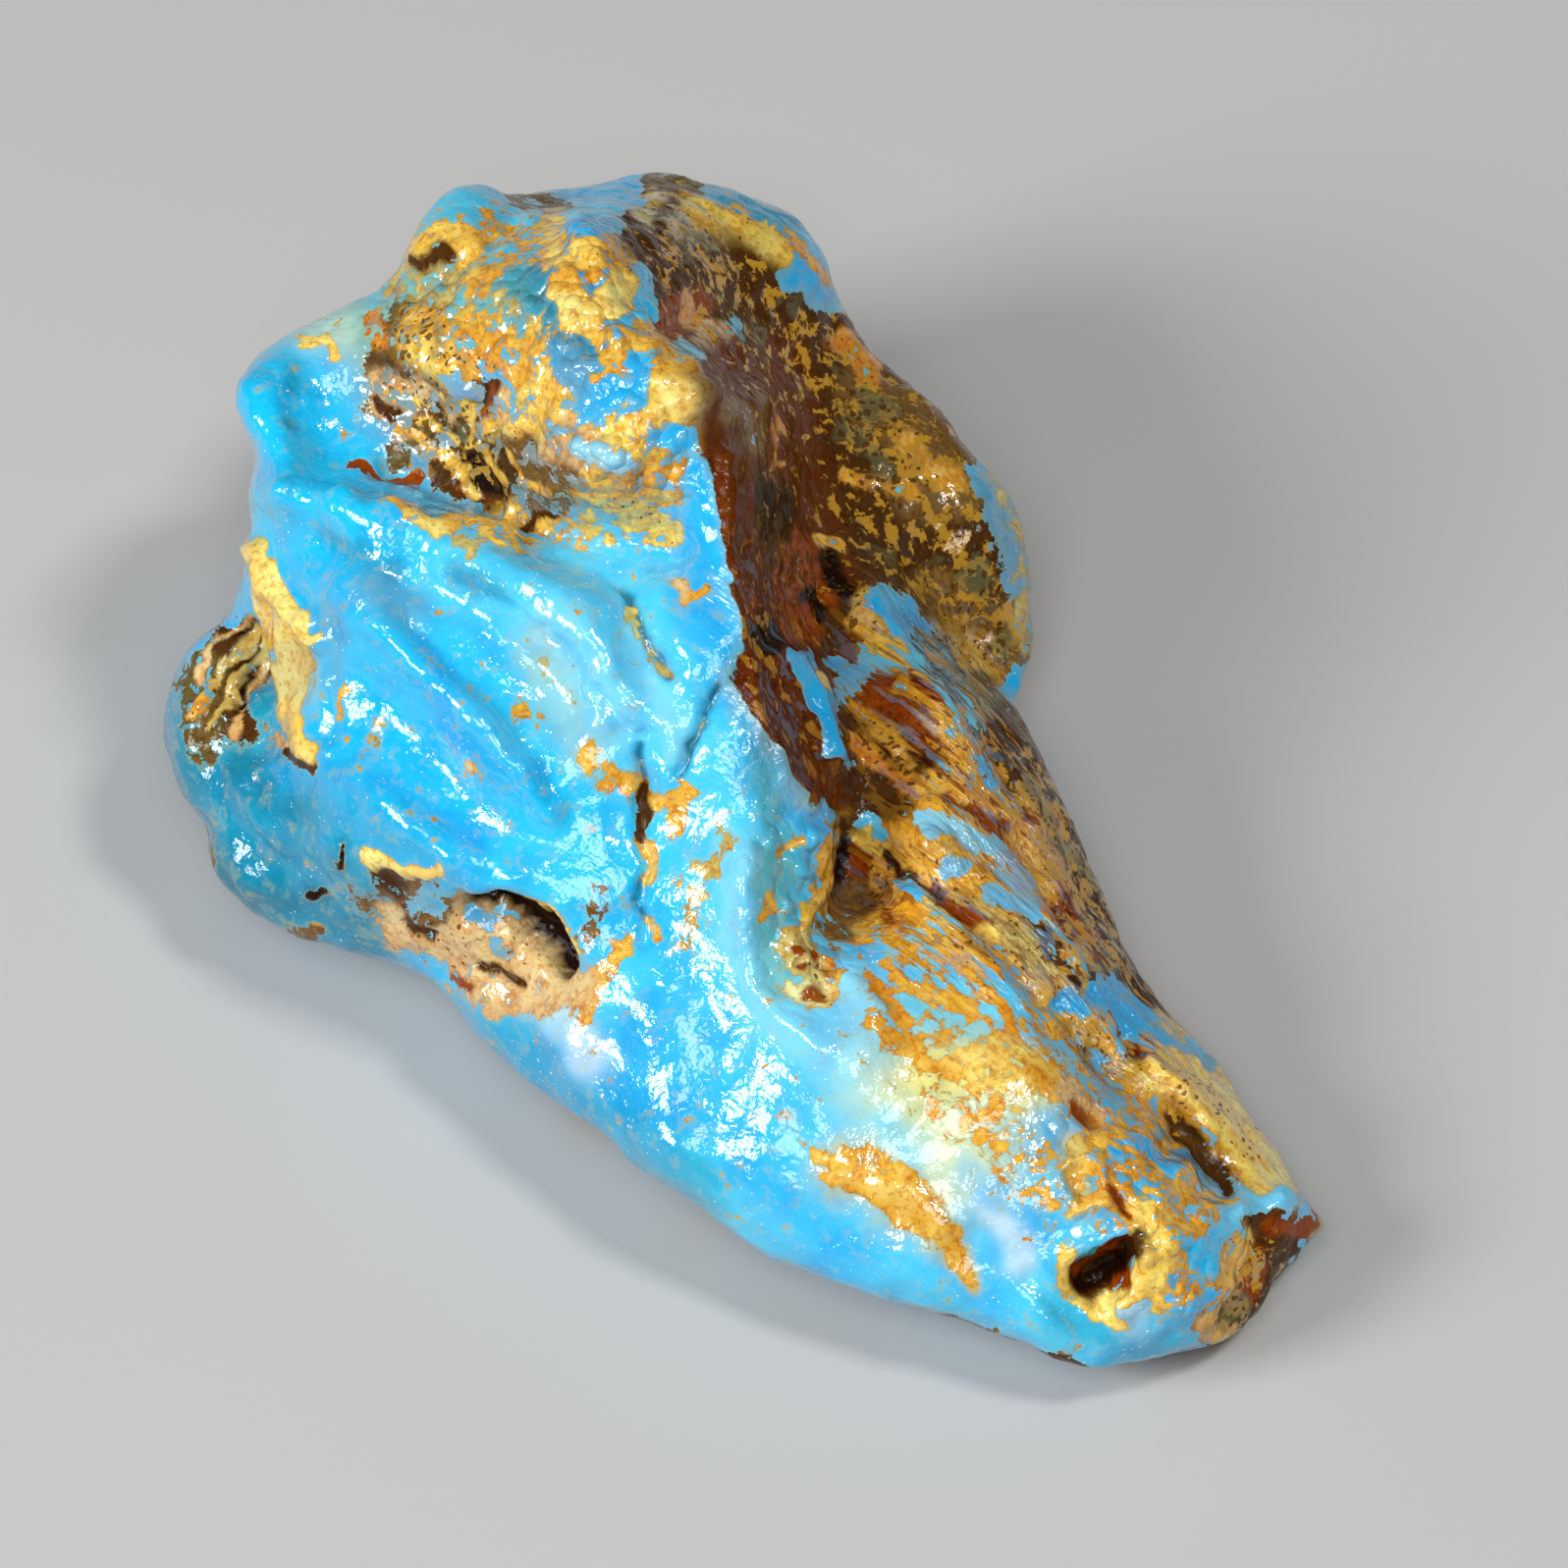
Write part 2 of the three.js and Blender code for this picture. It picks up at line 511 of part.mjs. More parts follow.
// Evens out the net's corners while they stay on the surface, with the resting flat at z = 0.
function settle({ corners, faces }, rounds) {
  const neighbours = corners.map(() => new Set());
  for (const face of faces) {
    face.forEach((corner, n) => {
      neighbours[corner].add(face[(n + 1) % 4]);
      neighbours[face[(n + 1) % 4]].add(corner);
    });
  }
  const rests = corners.map((corner) => Math.abs(corner[2]) < facetSize * 0.35);
  const onRim = corners.map((_, i) => rests[i] && [...neighbours[i]].some((n) => !rests[n]));
  for (let round = 0; round < rounds; round += 1) {
    corners.forEach((corner, i) => {
      const near = [...neighbours[i]].filter((n) => !onRim[i] || onRim[n]);
      if (near.length > 1) {
        for (const axis of [0, 1, 2]) {
          const mean = near.reduce((sum, n) => sum + corners[n][axis], 0) / near.length;
          corner[axis] += 0.5 * (mean - corner[axis]);
        }
      }
      if (rests[i]) corner[2] = 0;
      if (onRim[i]) drawOnto(roundStone, corner, [0, 1]);
      if (!rests[i]) drawOnto(roundStone, corner, [0, 1, 2]);
    });
  }
}

// Splits each four-sided face along its shorter diagonal.
function trianglesOf({ corners, faces }) {
  const span = (a, b) => Math.hypot(...corners[a].map((c, axis) => c - corners[b][axis]));
  return faces.flatMap(([a, b, c, d]) =>
    span(a, c) < span(b, d) ? [a, b, c, a, c, d] : [b, c, d, b, d, a],
  );
}

function nugget() {
  const net = surfaceNet([-32, -23, -facetSize / 2], [32, 23, 29]);
  settle(net, 6);
  const geometry = new THREE.BufferGeometry();
  geometry.setAttribute("position", new THREE.Float32BufferAttribute(net.corners.flat(), 3));
  geometry.setIndex(trianglesOf(net));
  const finish = new THREE.MeshStandardMaterial({ color: 0x2fa4dc, roughness: 0.3, metalness: 0 });
  const mesh = new THREE.Mesh(geometry, finish);
  mesh.name = "blue_amber_nugget";
  return mesh;
}

const part = new THREE.Group();
part.add(nugget());

export default part;
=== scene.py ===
# The looks of a rough nugget of blue amber, on a pale floor under soft studio light.
#
# The nugget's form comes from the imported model. Its finer relief and its colours are strokes and
# patches, placed by where they lie in the reference view, a square picture 1597 pixels wide. A point
# of it is written as column+rowj, in pixels. The sides that the view hides are coloured by noise.

import math

import bmesh
import bpy
import numpy as np
from mathutils import Matrix, Vector, noise


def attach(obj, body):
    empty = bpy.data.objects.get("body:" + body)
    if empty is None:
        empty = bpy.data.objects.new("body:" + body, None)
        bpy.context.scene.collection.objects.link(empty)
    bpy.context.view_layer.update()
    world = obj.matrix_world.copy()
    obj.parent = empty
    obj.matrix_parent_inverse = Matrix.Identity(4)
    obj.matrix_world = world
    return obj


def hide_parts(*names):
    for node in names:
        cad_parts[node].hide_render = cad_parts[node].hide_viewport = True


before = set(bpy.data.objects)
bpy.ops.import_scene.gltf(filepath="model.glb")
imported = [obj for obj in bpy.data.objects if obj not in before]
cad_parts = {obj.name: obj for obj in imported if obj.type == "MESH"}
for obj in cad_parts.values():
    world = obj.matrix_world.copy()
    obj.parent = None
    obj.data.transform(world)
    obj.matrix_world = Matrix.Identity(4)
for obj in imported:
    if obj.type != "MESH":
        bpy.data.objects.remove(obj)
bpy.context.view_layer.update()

NUGGET = "blue_amber_nugget"

# The reference view, in metres, pixels and radians.
PICTURE_WIDTH = 1597
PIXEL = 0.000042
MM = 0.001
VIEW_DISTANCE = 0.400
VIEW_ELEVATION = math.radians(50)
VIEW_TURN = math.radians(42)
VIEW_MIDDLE = Vector((0.00321, -0.00560, 0.015))

RIGHT = Vector((math.cos(VIEW_TURN), math.sin(VIEW_TURN), 0))
AWAY = Vector((-math.sin(VIEW_TURN), math.cos(VIEW_TURN), 0))
NEAR = Vector((0, 0, math.sin(VIEW_ELEVATION))) - AWAY * math.cos(VIEW_ELEVATION)
UP = Vector((0, 0, math.cos(VIEW_ELEVATION))) + AWAY * math.sin(VIEW_ELEVATION)

# Colours in even light: red, green and blue from 0 to 1, linear.
# The blue stone.
AZURE = (0.004, 0.570, 0.970)
SKY = (0.022, 0.460, 0.880)
CYAN = (0.075, 0.650, 0.960)
PALE = (0.330, 0.800, 0.980)
# The white of painted highlights and painted glints.
HIGHLIGHT_WHITE = (0.820, 0.930, 0.970)
MILK = (0.800, 0.860, 0.440)
TEAL = (0.002, 0.320, 0.500)
DEEP_TEAL = (0.005, 0.150, 0.240)
SLATE = (0.170, 0.330, 0.460)
SEA_GREEN = (0.110, 0.400, 0.320)
LILAC = (0.300, 0.340, 0.440)
ASH = (0.230, 0.210, 0.190)
# The crust and the resin.
CREAM = (1.000, 0.860, 0.320)
YELLOW = (1.000, 0.840, 0.210)
GOLD = (0.980, 0.720, 0.120)
OCHRE = (0.880, 0.530, 0.055)
AMBER = (0.860, 0.400, 0.018)
ORANGE = (0.760, 0.280, 0.010)
HONEY = (0.600, 0.310, 0.025)
TAN = (0.760, 0.540, 0.260)
STRAW = (0.640, 0.560, 0.180)
MUSTARD = (0.800, 0.500, 0.050)
OLIVE = (0.150, 0.110, 0.030)
MOSS = (0.160, 0.170, 0.070)
DRAB = (0.220, 0.125, 0.035)
BROWN = (0.085, 0.034, 0.007)
RUST = (0.300, 0.060, 0.003)
RESIN = (0.140, 0.034, 0.004)
PITCH = (0.016, 0.005, 0.002)

# Tints of the blue stone, some of them painted highlights and painted shade: colour, share in
# percent, half width in pixels, and the points of the stroke's middle line.
BODY_TINTS = [
    (AZURE, 95, 70, 280+395j, 330+440j),
    (AZURE, 80, 34, 290+540j, 360+545j, 430+575j),
    (AZURE, 60, 40, 350+640j, 380+720j),
    (AZURE, 70, 30, 420+600j, 470+640j, 520+700j),
    (AZURE, 50, 26, 560+790j, 610+840j, 640+880j),
    (AZURE, 60, 60, 560+850j, 600+900j, 560+900j),
    (AZURE, 70, 24, 655+300j, 668+330j),
    (AZURE, 60, 22, 610+205j, 640+195j),
    (AZURE, 50, 40, 690+880j, 690+940j),
    (TEAL, 90, 70, 200+780j, 270+860j, 330+910j),
    # Painted shade: darker teal along the left lobe's lower edge.
    (DEEP_TEAL, 60, 26, 200+880j, 290+940j, 370+960j),
    (DEEP_TEAL, 50, 30, 170+720j, 185+790j),
    # Painted shade: darker teal on the front underside.
    (TEAL, 60, 30, 500+1060j, 600+1140j, 700+1210j),
    (TEAL, 60, 26, 740+205j, 790+225j),
    (DEEP_TEAL, 70, 26, 545+290j, 590+345j),
    (SEA_GREEN, 60, 40, 440+280j, 500+310j),
    (MILK, 60, 26, 330+330j, 370+345j),
    (SEA_GREEN, 60, 24, 385+330j, 390+355j),
    # Cyan along the crest: partly the stone's own cyan, partly painted light where the crest catches
    # the light.
    (CYAN, 90, 46, 480+580j, 560+620j, 620+700j, 700+760j, 720+830j),
    # Painted highlight: pale along the crest's highlight line.
    (PALE, 50, 24, 560+640j, 600+690j, 625+740j),
    (STRAW, 30, 16, 545+660j, 560+700j, 600+770j),
    (PALE, 50, 12, 640+640j, 665+700j, 690+760j),
    (CYAN, 70, 60, 760+900j, 770+1020j, 850+1140j, 960+1290j),
    # Painted highlight: pale along the front rim's ridge line.
    (PALE, 55, 22, 752+880j, 758+960j, 780+1030j, 850+1080j),
    (SEA_GREEN, 55, 14, 775+770j, 790+860j, 785+950j, 792+1000j),
    (SLATE, 80, 14, 765+700j, 790+760j, 815+810j),
    (PALE, 80, 28, 870+1015j, 890+1055j),
    (MILK, 90, 46, 930+1120j, 950+1160j, 980+1180j),
    (MILK, 50, 22, 955+1170j, 975+1205j),
    (MILK, 60, 24, 1010+1110j, 1040+1110j),
    (SLATE, 60, 26, 1180+1100j, 1230+1200j),
    (PALE, 50, 24, 1230+1230j, 1290+1230j),
    (SEA_GREEN, 70, 14, 1100+1208j),
    # Painted highlight: white on the tail's lower front.
    (HIGHLIGHT_WHITE, 60, 14, 1150+1335j, 1155+1350j),
    # Painted shade: darker teal along the tail's lower edge.
    (TEAL, 50, 20, 1080+1335j, 1180+1375j),
    (PALE, 85, 22, 940+835j, 990+860j, 1045+895j),
    (SLATE, 60, 30, 960+870j, 1040+930j),
    (PALE, 60, 18, 905+940j, 930+965j),
    (SLATE, 60, 20, 865+690j, 890+700j),
    (SLATE, 70, 24, 1000+500j, 1035+570j),
    (SLATE, 60, 18, 585+380j, 575+400j),
    (LILAC, 90, 26, 520+450j, 590+475j, 640+480j),
    (ASH, 85, 30, 400+400j, 440+440j, 500+470j),
    (LILAC, 60, 16, 470+400j, 500+430j),
    # Partly the bubbles' pale blue, partly a painted highlight on the dome's lower bubbles.
    (PALE, 80, 12, 588+456j, 604+462j, 634+466j),
    (DEEP_TEAL, 60, 16, 250+770j, 250+790j, 300+830j),
    (DEEP_TEAL, 70, 8, 318+908j, 330+916j),
    (DEEP_TEAL, 60, 7, 296+385j, 300+392j),
    (DEEP_TEAL, 60, 6, 294+428j, 298+430j),
    (DEEP_TEAL, 50, 7, 350+860j, 352+884j),
    (DEEP_TEAL, 55, 12, 220+890j, 250+930j),
    # Painted shade: darker teal just below the shoulder fold.
    (DEEP_TEAL, 50, 10, 470+586j, 500+600j),
    (DEEP_TEAL, 45, 9, 330+545j, 400+582j),
    (LILAC, 80, 9, 1022+878j, 1044+906j),
    (YELLOW, 90, 26, 950+1092j, 1000+1084j, 1045+1100j),
    (MUSTARD, 100, 22, 862+1190j, 900+1205j, 935+1230j),
    (MUSTARD, 100, 13, 935+1230j, 960+1256j),
    (MUSTARD, 95, 7, 960+1256j, 990+1304j),
    (MUSTARD, 70, 10, 1092+1156j, 1100+1226j),
    (TEAL, 60, 10, 1240+1075j, 1296+1168j),
    # Painted highlight: white on the tail's upper face.
    (HIGHLIGHT_WHITE, 60, 12, 1005+1225j, 1030+1260j, 1040+1284j),
    (SKY, 60, 16, 985+1195j, 1010+1215j),
    (CYAN, 60, 14, 900+1140j, 930+1180j),
    (SLATE, 60, 26, 430+400j, 450+430j),
    (ASH, 60, 22, 520+480j, 560+500j, 600+505j),
    (PALE, 60, 10, 310+690j, 300+730j),
    (TEAL, 80, 14, 268+715j, 272+740j),
    (SLATE, 50, 16, 330+630j, 335+690j),
    # Painted highlight: white along the lower-left rim.
    (HIGHLIGHT_WHITE, 55, 16, 540+1010j, 580+1030j, 600+1080j),
    (SLATE, 50, 12, 430+905j, 440+925j, 490+940j, 515+965j),
    (SLATE, 50, 18, 380+600j, 420+620j),
    (DEEP_TEAL, 90, 3, 651+760j, 652+794j),
    (DEEP_TEAL, 95, 3, 652+896j, 656+936j),
    (DEEP_TEAL, 90, 3, 736+702j, 714+726j, 703+758j, 697+790j),
    (DEEP_TEAL, 80, 3, 638+596j, 646+612j, 658+650j, 684+694j),
]

# Coverings of the blue stone, painted in order: colour (None leaves the colour that is there),
# percent covered (100 is solid, 50 is lace, below 0 is bare), half width and points.
DOME = [
    (OCHRE, 52, 50, 430+270j, 480+300j, 520+330j),
    (GOLD, 42, 60, 520+400j, 580+420j, 640+430j),
    (STRAW, 60, 30, 440+300j, 500+310j),
    (GOLD, 85, 13, 430+250j, 470+238j, 478+248j),
    (BROWN, 90, 8, 426+267j, 450+258j),
    (OCHRE, 55, 16, 500+225j, 520+240j, 545+245j),
    (OLIVE, 70, 9, 525+200j, 560+208j, 590+216j),
    (OCHRE, 80, 11, 485+290j, 515+272j, 560+262j, 600+265j),
    (GOLD, 95, 13, 562+232j, 575+255j, 612+262j),
    (None, -20, 14, 590+230j, 622+232j),
    (OCHRE, 65, 10, 622+248j, 632+270j, 652+262j),
    (None, -20, 15, 525+285j, 560+290j, 550+312j),
    (None, -20, 14, 650+290j, 660+325j, 600+345j),
    (YELLOW, 130, 15, 575+300j, 590+322j, 615+320j, 632+293j),
    (OCHRE, 90, 7, 568+290j, 600+284j),
    (GOLD, 68, 26, 600+440j, 640+430j, 660+465j, 600+480j),
    (TAN, 66, 30, 530+430j, 575+465j, 540+485j),
    (None, -10, 8, 584+452j, 596+460j),
    (None, -10, 11, 620+464j, 638+466j),
    (GOLD, 80, 20, 525+360j, 560+390j, 550+420j),
    (OCHRE, 75, 22, 480+340j, 520+360j),
    (OCHRE, 80, 12, 612+345j, 622+360j, 650+342j, 685+352j),
    (OCHRE, 90, 7, 600+388j, 640+382j),
    (None, -10, 13, 575+370j, 590+396j),
    (None, -20, 15, 700+345j, 722+372j),
    (None, -20, 8, 645+372j, 672+374j),
    (None, -20, 15, 602+408j, 640+398j, 662+392j),
    (YELLOW, 150, 24, 684+398j, 706+406j, 724+424j),
    (OCHRE, 85, 9, 668+376j, 692+384j),
    (None, -20, 13, 678+442j, 698+440j),
    (OLIVE, 95, 17, 402+330j, 440+330j),
    (OLIVE, 72, 20, 398+360j, 420+390j, 470+430j),
    (OCHRE, 80, 28, 440+350j, 466+372j, 456+392j),
    (GOLD, 90, 12, 418+352j, 448+372j, 432+388j),
    (BROWN, 90, 10, 382+374j, 404+390j),
    (DRAB, 72, 26, 396+405j, 432+425j, 456+444j),
    (TAN, 62, 12, 388+396j, 400+420j),
    (OCHRE, 55, 18, 470+430j, 500+450j),
    (TAN, 75, 8, 410+395j, 440+415j, 462+430j),
    (BROWN, 80, 8, 497+398j, 484+418j, 470+440j),
    (RUST, 90, 4, 498+404j, 488+422j),
    (None, 0, 10, 462+392j, 475+400j),
    (DRAB, 65, 14, 515+455j, 545+480j, 580+495j),
    (BROWN, 85, 15, 465+455j, 490+472j, 520+490j),
    (OCHRE, 80, 24, 620+505j, 660+500j, 690+490j),
    (GOLD, 90, 14, 640+530j, 680+536j, 692+552j),
    (None, -30, 15, 708+485j, 724+520j, 700+570j),
    (OLIVE, 80, 10, 400+460j, 425+450j),
    (RUST, 90, 4, 352+474j, 400+481j, 424+484j),
    (None, 0, 6, 446+436j, 458+470j, 442+500j),
    (BROWN, 105, 14, 452+476j, 482+490j, 505+498j),
    (RESIN, 100, 6, 470+490j, 500+504j),
    (PITCH, 100, 8, 468+476j, 496+492j),
    (OCHRE, 90, 3, 448+462j, 470+478j, 480+500j),
    (OCHRE, 90, 3, 484+452j, 496+474j, 512+492j),
    (GOLD, 80, 3, 505+448j, 522+470j, 548+490j),
    (RUST, 90, 4, 500+510j, 530+514j),
    (GOLD, 70, 3, 392+400j, 420+412j, 446+404j),
    (GOLD, 70, 3, 420+430j, 450+440j, 466+456j),
    (BROWN, 80, 4, 384+408j, 396+424j),
    (BROWN, 80, 4, 436+418j, 448+434j),
    (OCHRE, 80, 3, 398+434j, 420+446j, 440+462j),
    (GOLD, 80, 3, 470+410j, 484+436j, 480+458j),
    (OCHRE, 80, 3, 520+464j, 536+486j, 560+498j),
    (None, -10, 8, 440+522j, 490+525j, 540+530j),
    (OCHRE, 105, 8, 394+516j, 420+530j, 450+540j, 476+532j),
    (YELLOW, 110, 6, 412+534j, 446+541j),
    (GOLD, 105, 8, 493+544j, 520+546j, 526+556j),
    (STRAW, 80, 8, 462+556j, 482+562j),
    (GOLD, 85, 7, 500+544j, 524+552j),
    (OCHRE, 70, 9, 590+552j, 620+545j),
    (GOLD, 60, 15, 500+528j, 555+532j, 605+528j),
    (ASH, 70, 8, 540+512j, 572+514j),
    (BROWN, 80, 3, 524+530j, 548+520j, 560+524j),
    (YELLOW, 95, 5, 306+348j, 328+342j, 340+358j, 346+366j),
    (ORANGE, 60, 8, 373+322j, 380+342j),
]
FAR_SIDE = [
    (OLIVE, 100, 28, 645+200j, 700+195j, 670+230j, 700+260j),
    (BROWN, 125, 30, 668+232j, 700+268j, 740+300j),
    (STRAW, 80, 10, 658+212j, 692+206j),
    (BROWN, 95, 16, 690+222j, 725+238j),
    (None, -30, 17, 606+204j, 638+194j),
    (None, -20, 17, 735+200j, 785+220j),
    (STRAW, 70, 20, 712+236j, 740+262j, 770+290j),
    (GOLD, 70, 22, 725+228j, 755+246j, 786+280j),
    (GOLD, 95, 20, 745+232j, 768+262j, 790+248j),
    (None, -20, 15, 818+236j, 840+282j),
    (OCHRE, 80, 6, 806+238j, 824+268j, 846+288j),
    (None, -30, 15, 800+288j, 820+310j, 838+330j),
    (BROWN, 130, 44, 720+295j, 780+340j, 800+380j, 830+380j),
    (BROWN, 130, 64, 820+390j, 880+450j, 920+500j, 870+550j),
    (BROWN, 130, 50, 900+440j, 950+520j, 980+620j, 1000+670j),
    (BROWN, 130, 26, 872+350j, 925+395j, 980+440j),
    (DRAB, 120, 22, 880+400j, 940+440j, 970+500j),
    (DRAB, 120, 20, 960+600j, 1010+640j, 1025+680j),
    (RUST, 125, 13, 684+322j, 712+312j),
    (ORANGE, 120, 4, 700+300j, 722+330j, 740+372j),
    (TAN, 85, 9, 722+338j, 746+352j),
    (None, -10, 8, 742+332j, 764+366j, 774+394j),
    (ORANGE, 90, 10, 862+350j, 886+374j),
    (DRAB, 120, 26, 930+420j, 965+470j, 940+495j),
    (AMBER, 90, 7, 924+452j, 950+480j, 976+492j),
    (AMBER, 80, 5, 860+482j, 900+492j, 930+500j),
    (None, -10, 15, 1000+482j, 1026+540j, 1040+592j),
    (STRAW, 65, 14, 1020+480j, 1050+560j, 1052+650j),
    (None, -10, 12, 1026+704j, 1046+694j),
]
HOLLOW = [
    (RESIN, 140, 46, 765+400j, 780+500j, 800+570j, 825+630j, 800+690j),
    (DRAB, 90, 9, 742+420j, 762+420j, 768+450j),
    (RUST, 120, 13, 816+560j, 842+596j, 826+640j),
    (RUST, 120, 9, 800+590j, 812+640j),
    (PITCH, 120, 7, 846+570j, 860+600j),
    (PITCH, 120, 6, 822+606j, 836+622j),
    (BROWN, 120, 9, 858+620j, 846+650j),
    (OCHRE, 75, 5, 836+545j, 856+556j),
    (OCHRE, 75, 4, 866+628j, 876+640j),
    (PITCH, 130, 17, 772+500j, 790+530j),
    (RESIN, 150, 13, 752+480j, 756+560j, 768+650j, 786+720j, 824+780j, 856+824j),
    (RUST, 160, 4, 764+600j, 776+660j, 796+718j, 828+768j),
    (RESIN, 150, 20, 790+690j, 802+745j, 840+800j),
    (PITCH, 120, 9, 778+640j, 792+656j),
    (None, -40, 12, 810+678j, 830+716j, 846+766j),
    (GOLD, 85, 5, 834+694j, 838+698j),
    (None, -20, 8, 862+688j, 888+702j),
    (None, -20, 6, 842+672j, 852+674j),
    (ORANGE, 60, 2.5, 790+410j, 796+470j),
]
FLANK = [
    (OCHRE, 75, 44, 940+700j, 1000+760j, 1040+820j),
    (OCHRE, 85, 46, 900+880j, 960+900j, 1020+930j),
    (STRAW, 90, 34, 990+930j, 1035+962j, 1080+1000j),
    (OCHRE, 70, 26, 950+840j, 1010+880j, 1040+900j),
    (GOLD, 75, 14, 884+622j, 902+652j, 934+672j),
    (None, -20, 13, 898+606j, 932+640j, 942+660j),
    (SLATE, 75, 12, 940+650j, 985+704j, 1012+744j),
    (MOSS, 110, 11, 1000+700j, 1030+760j, 1060+815j),
    (BROWN, 115, 20, 1026+745j, 1066+820j, 1096+880j, 1116+925j, 1136+980j, 1160+1015j),
    (BROWN, 115, 34, 885+745j, 915+770j, 900+795j),
    (RUST, 105, 18, 896+706j, 930+722j, 950+740j),
    (HONEY, 100, 6, 916+700j, 950+726j, 978+756j),
    (HONEY, 90, 5, 876+720j, 900+750j, 930+776j),
    (ORANGE, 90, 5, 870+752j, 896+782j, 930+800j),
    (OCHRE, 90, 12, 962+742j, 982+782j, 950+806j),
    (None, 0, 6, 1000+772j, 1010+796j),
    (RUST, 110, 9, 974+812j, 1002+828j, 1030+846j),
    (AMBER, 100, 5, 980+806j, 1010+820j),
    (ORANGE, 130, 15, 1050+856j, 1064+888j, 1078+920j),
    (AMBER, 130, 9, 1052+862j, 1068+896j),
    (RUST, 100, 8, 1084+922j, 1114+966j),
    (None, -15, 7, 936+834j, 975+850j, 1010+862j, 1028+874j),
    (None, -10, 8, 1024+878j, 1042+904j),
    (OCHRE, 100, 4, 956+852j, 972+856j),
    (None, -20, 8, 964+880j, 976+882j),
    (AMBER, 125, 20, 880+946j, 906+920j, 902+886j, 908+862j),
    (OCHRE, 110, 9, 838+846j, 838+900j, 816+944j, 800+966j),
    (BROWN, 130, 13, 872+846j, 864+880j, 852+918j),
    (PITCH, 130, 6, 870+856j, 862+890j),
    (RUST, 120, 6, 884+862j, 880+890j),
    (OCHRE, 100, 3, 858+850j, 856+880j, 846+905j),
    (DRAB, 80, 14, 876+912j, 858+935j, 846+950j),
    (None, -10, 8, 880+832j, 898+846j),
    (GOLD, 90, 7, 884+846j, 892+860j),
    (RUST, 90, 4, 950+900j, 990+930j, 1030+970j),
    (BROWN, 90, 4, 1030+920j, 1070+960j, 1100+1000j),
    (BROWN, 80, 3, 900+870j, 930+900j, 960+912j),
    (YELLOW, 90, 7, 1000+950j, 1040+985j, 1076+1010j),
    (None, -5, 6, 922+900j, 938+916j),
    (None, -5, 7, 1005+912j, 1050+930j),
    (RUST, 100, 5, 924+938j, 948+952j),
    (RUST, 100, 7, 962+958j, 1006+990j, 1040+1020j),
    (STRAW, 110, 20, 815+975j, 836+998j),
    (RUST, 120, 4, 809+968j, 811+972j),
    (RUST, 120, 4, 812+990j, 814+992j),
    (RUST, 120, 4, 828+976j, 830+978j),
    (RUST, 120, 4, 836+996j, 838+998j),
    (ORANGE, 110, 6, 848+984j, 852+1000j),
    (MILK, 100, 7, 802+1008j, 828+1020j, 852+1012j),
    (RUST, 100, 4, 820+1016j, 838+1014j),
    (None, -20, 9, 816+860j, 828+850j),
    (None, -20, 9, 814+888j, 800+922j),
    (OCHRE, 95, 6, 794+872j, 806+860j),
    (OCHRE, 95, 6, 788+912j, 778+936j),
    (TAN, 100, 18, 1060+1015j, 1090+1036j, 1122+1066j),
    (None, -10, 9, 1084+1014j, 1100+1022j),
    (None, -10, 11, 1128+1010j, 1156+1036j),
    (BROWN, 95, 5, 1072+1022j, 1100+1048j, 1124+1080j),
    (BROWN, 105, 9, 1160+1008j, 1188+1034j, 1212+1058j),
    (OCHRE, 75, 17, 896+952j, 945+976j, 985+1004j),
    (STRAW, 85, 16, 1000+990j, 1040+1016j, 1070+1040j),
    (None, -10, 8, 955+996j, 985+1012j),
    (RUST, 95, 3, 900+930j, 940+960j, 990+990j, 1040+1030j),
]
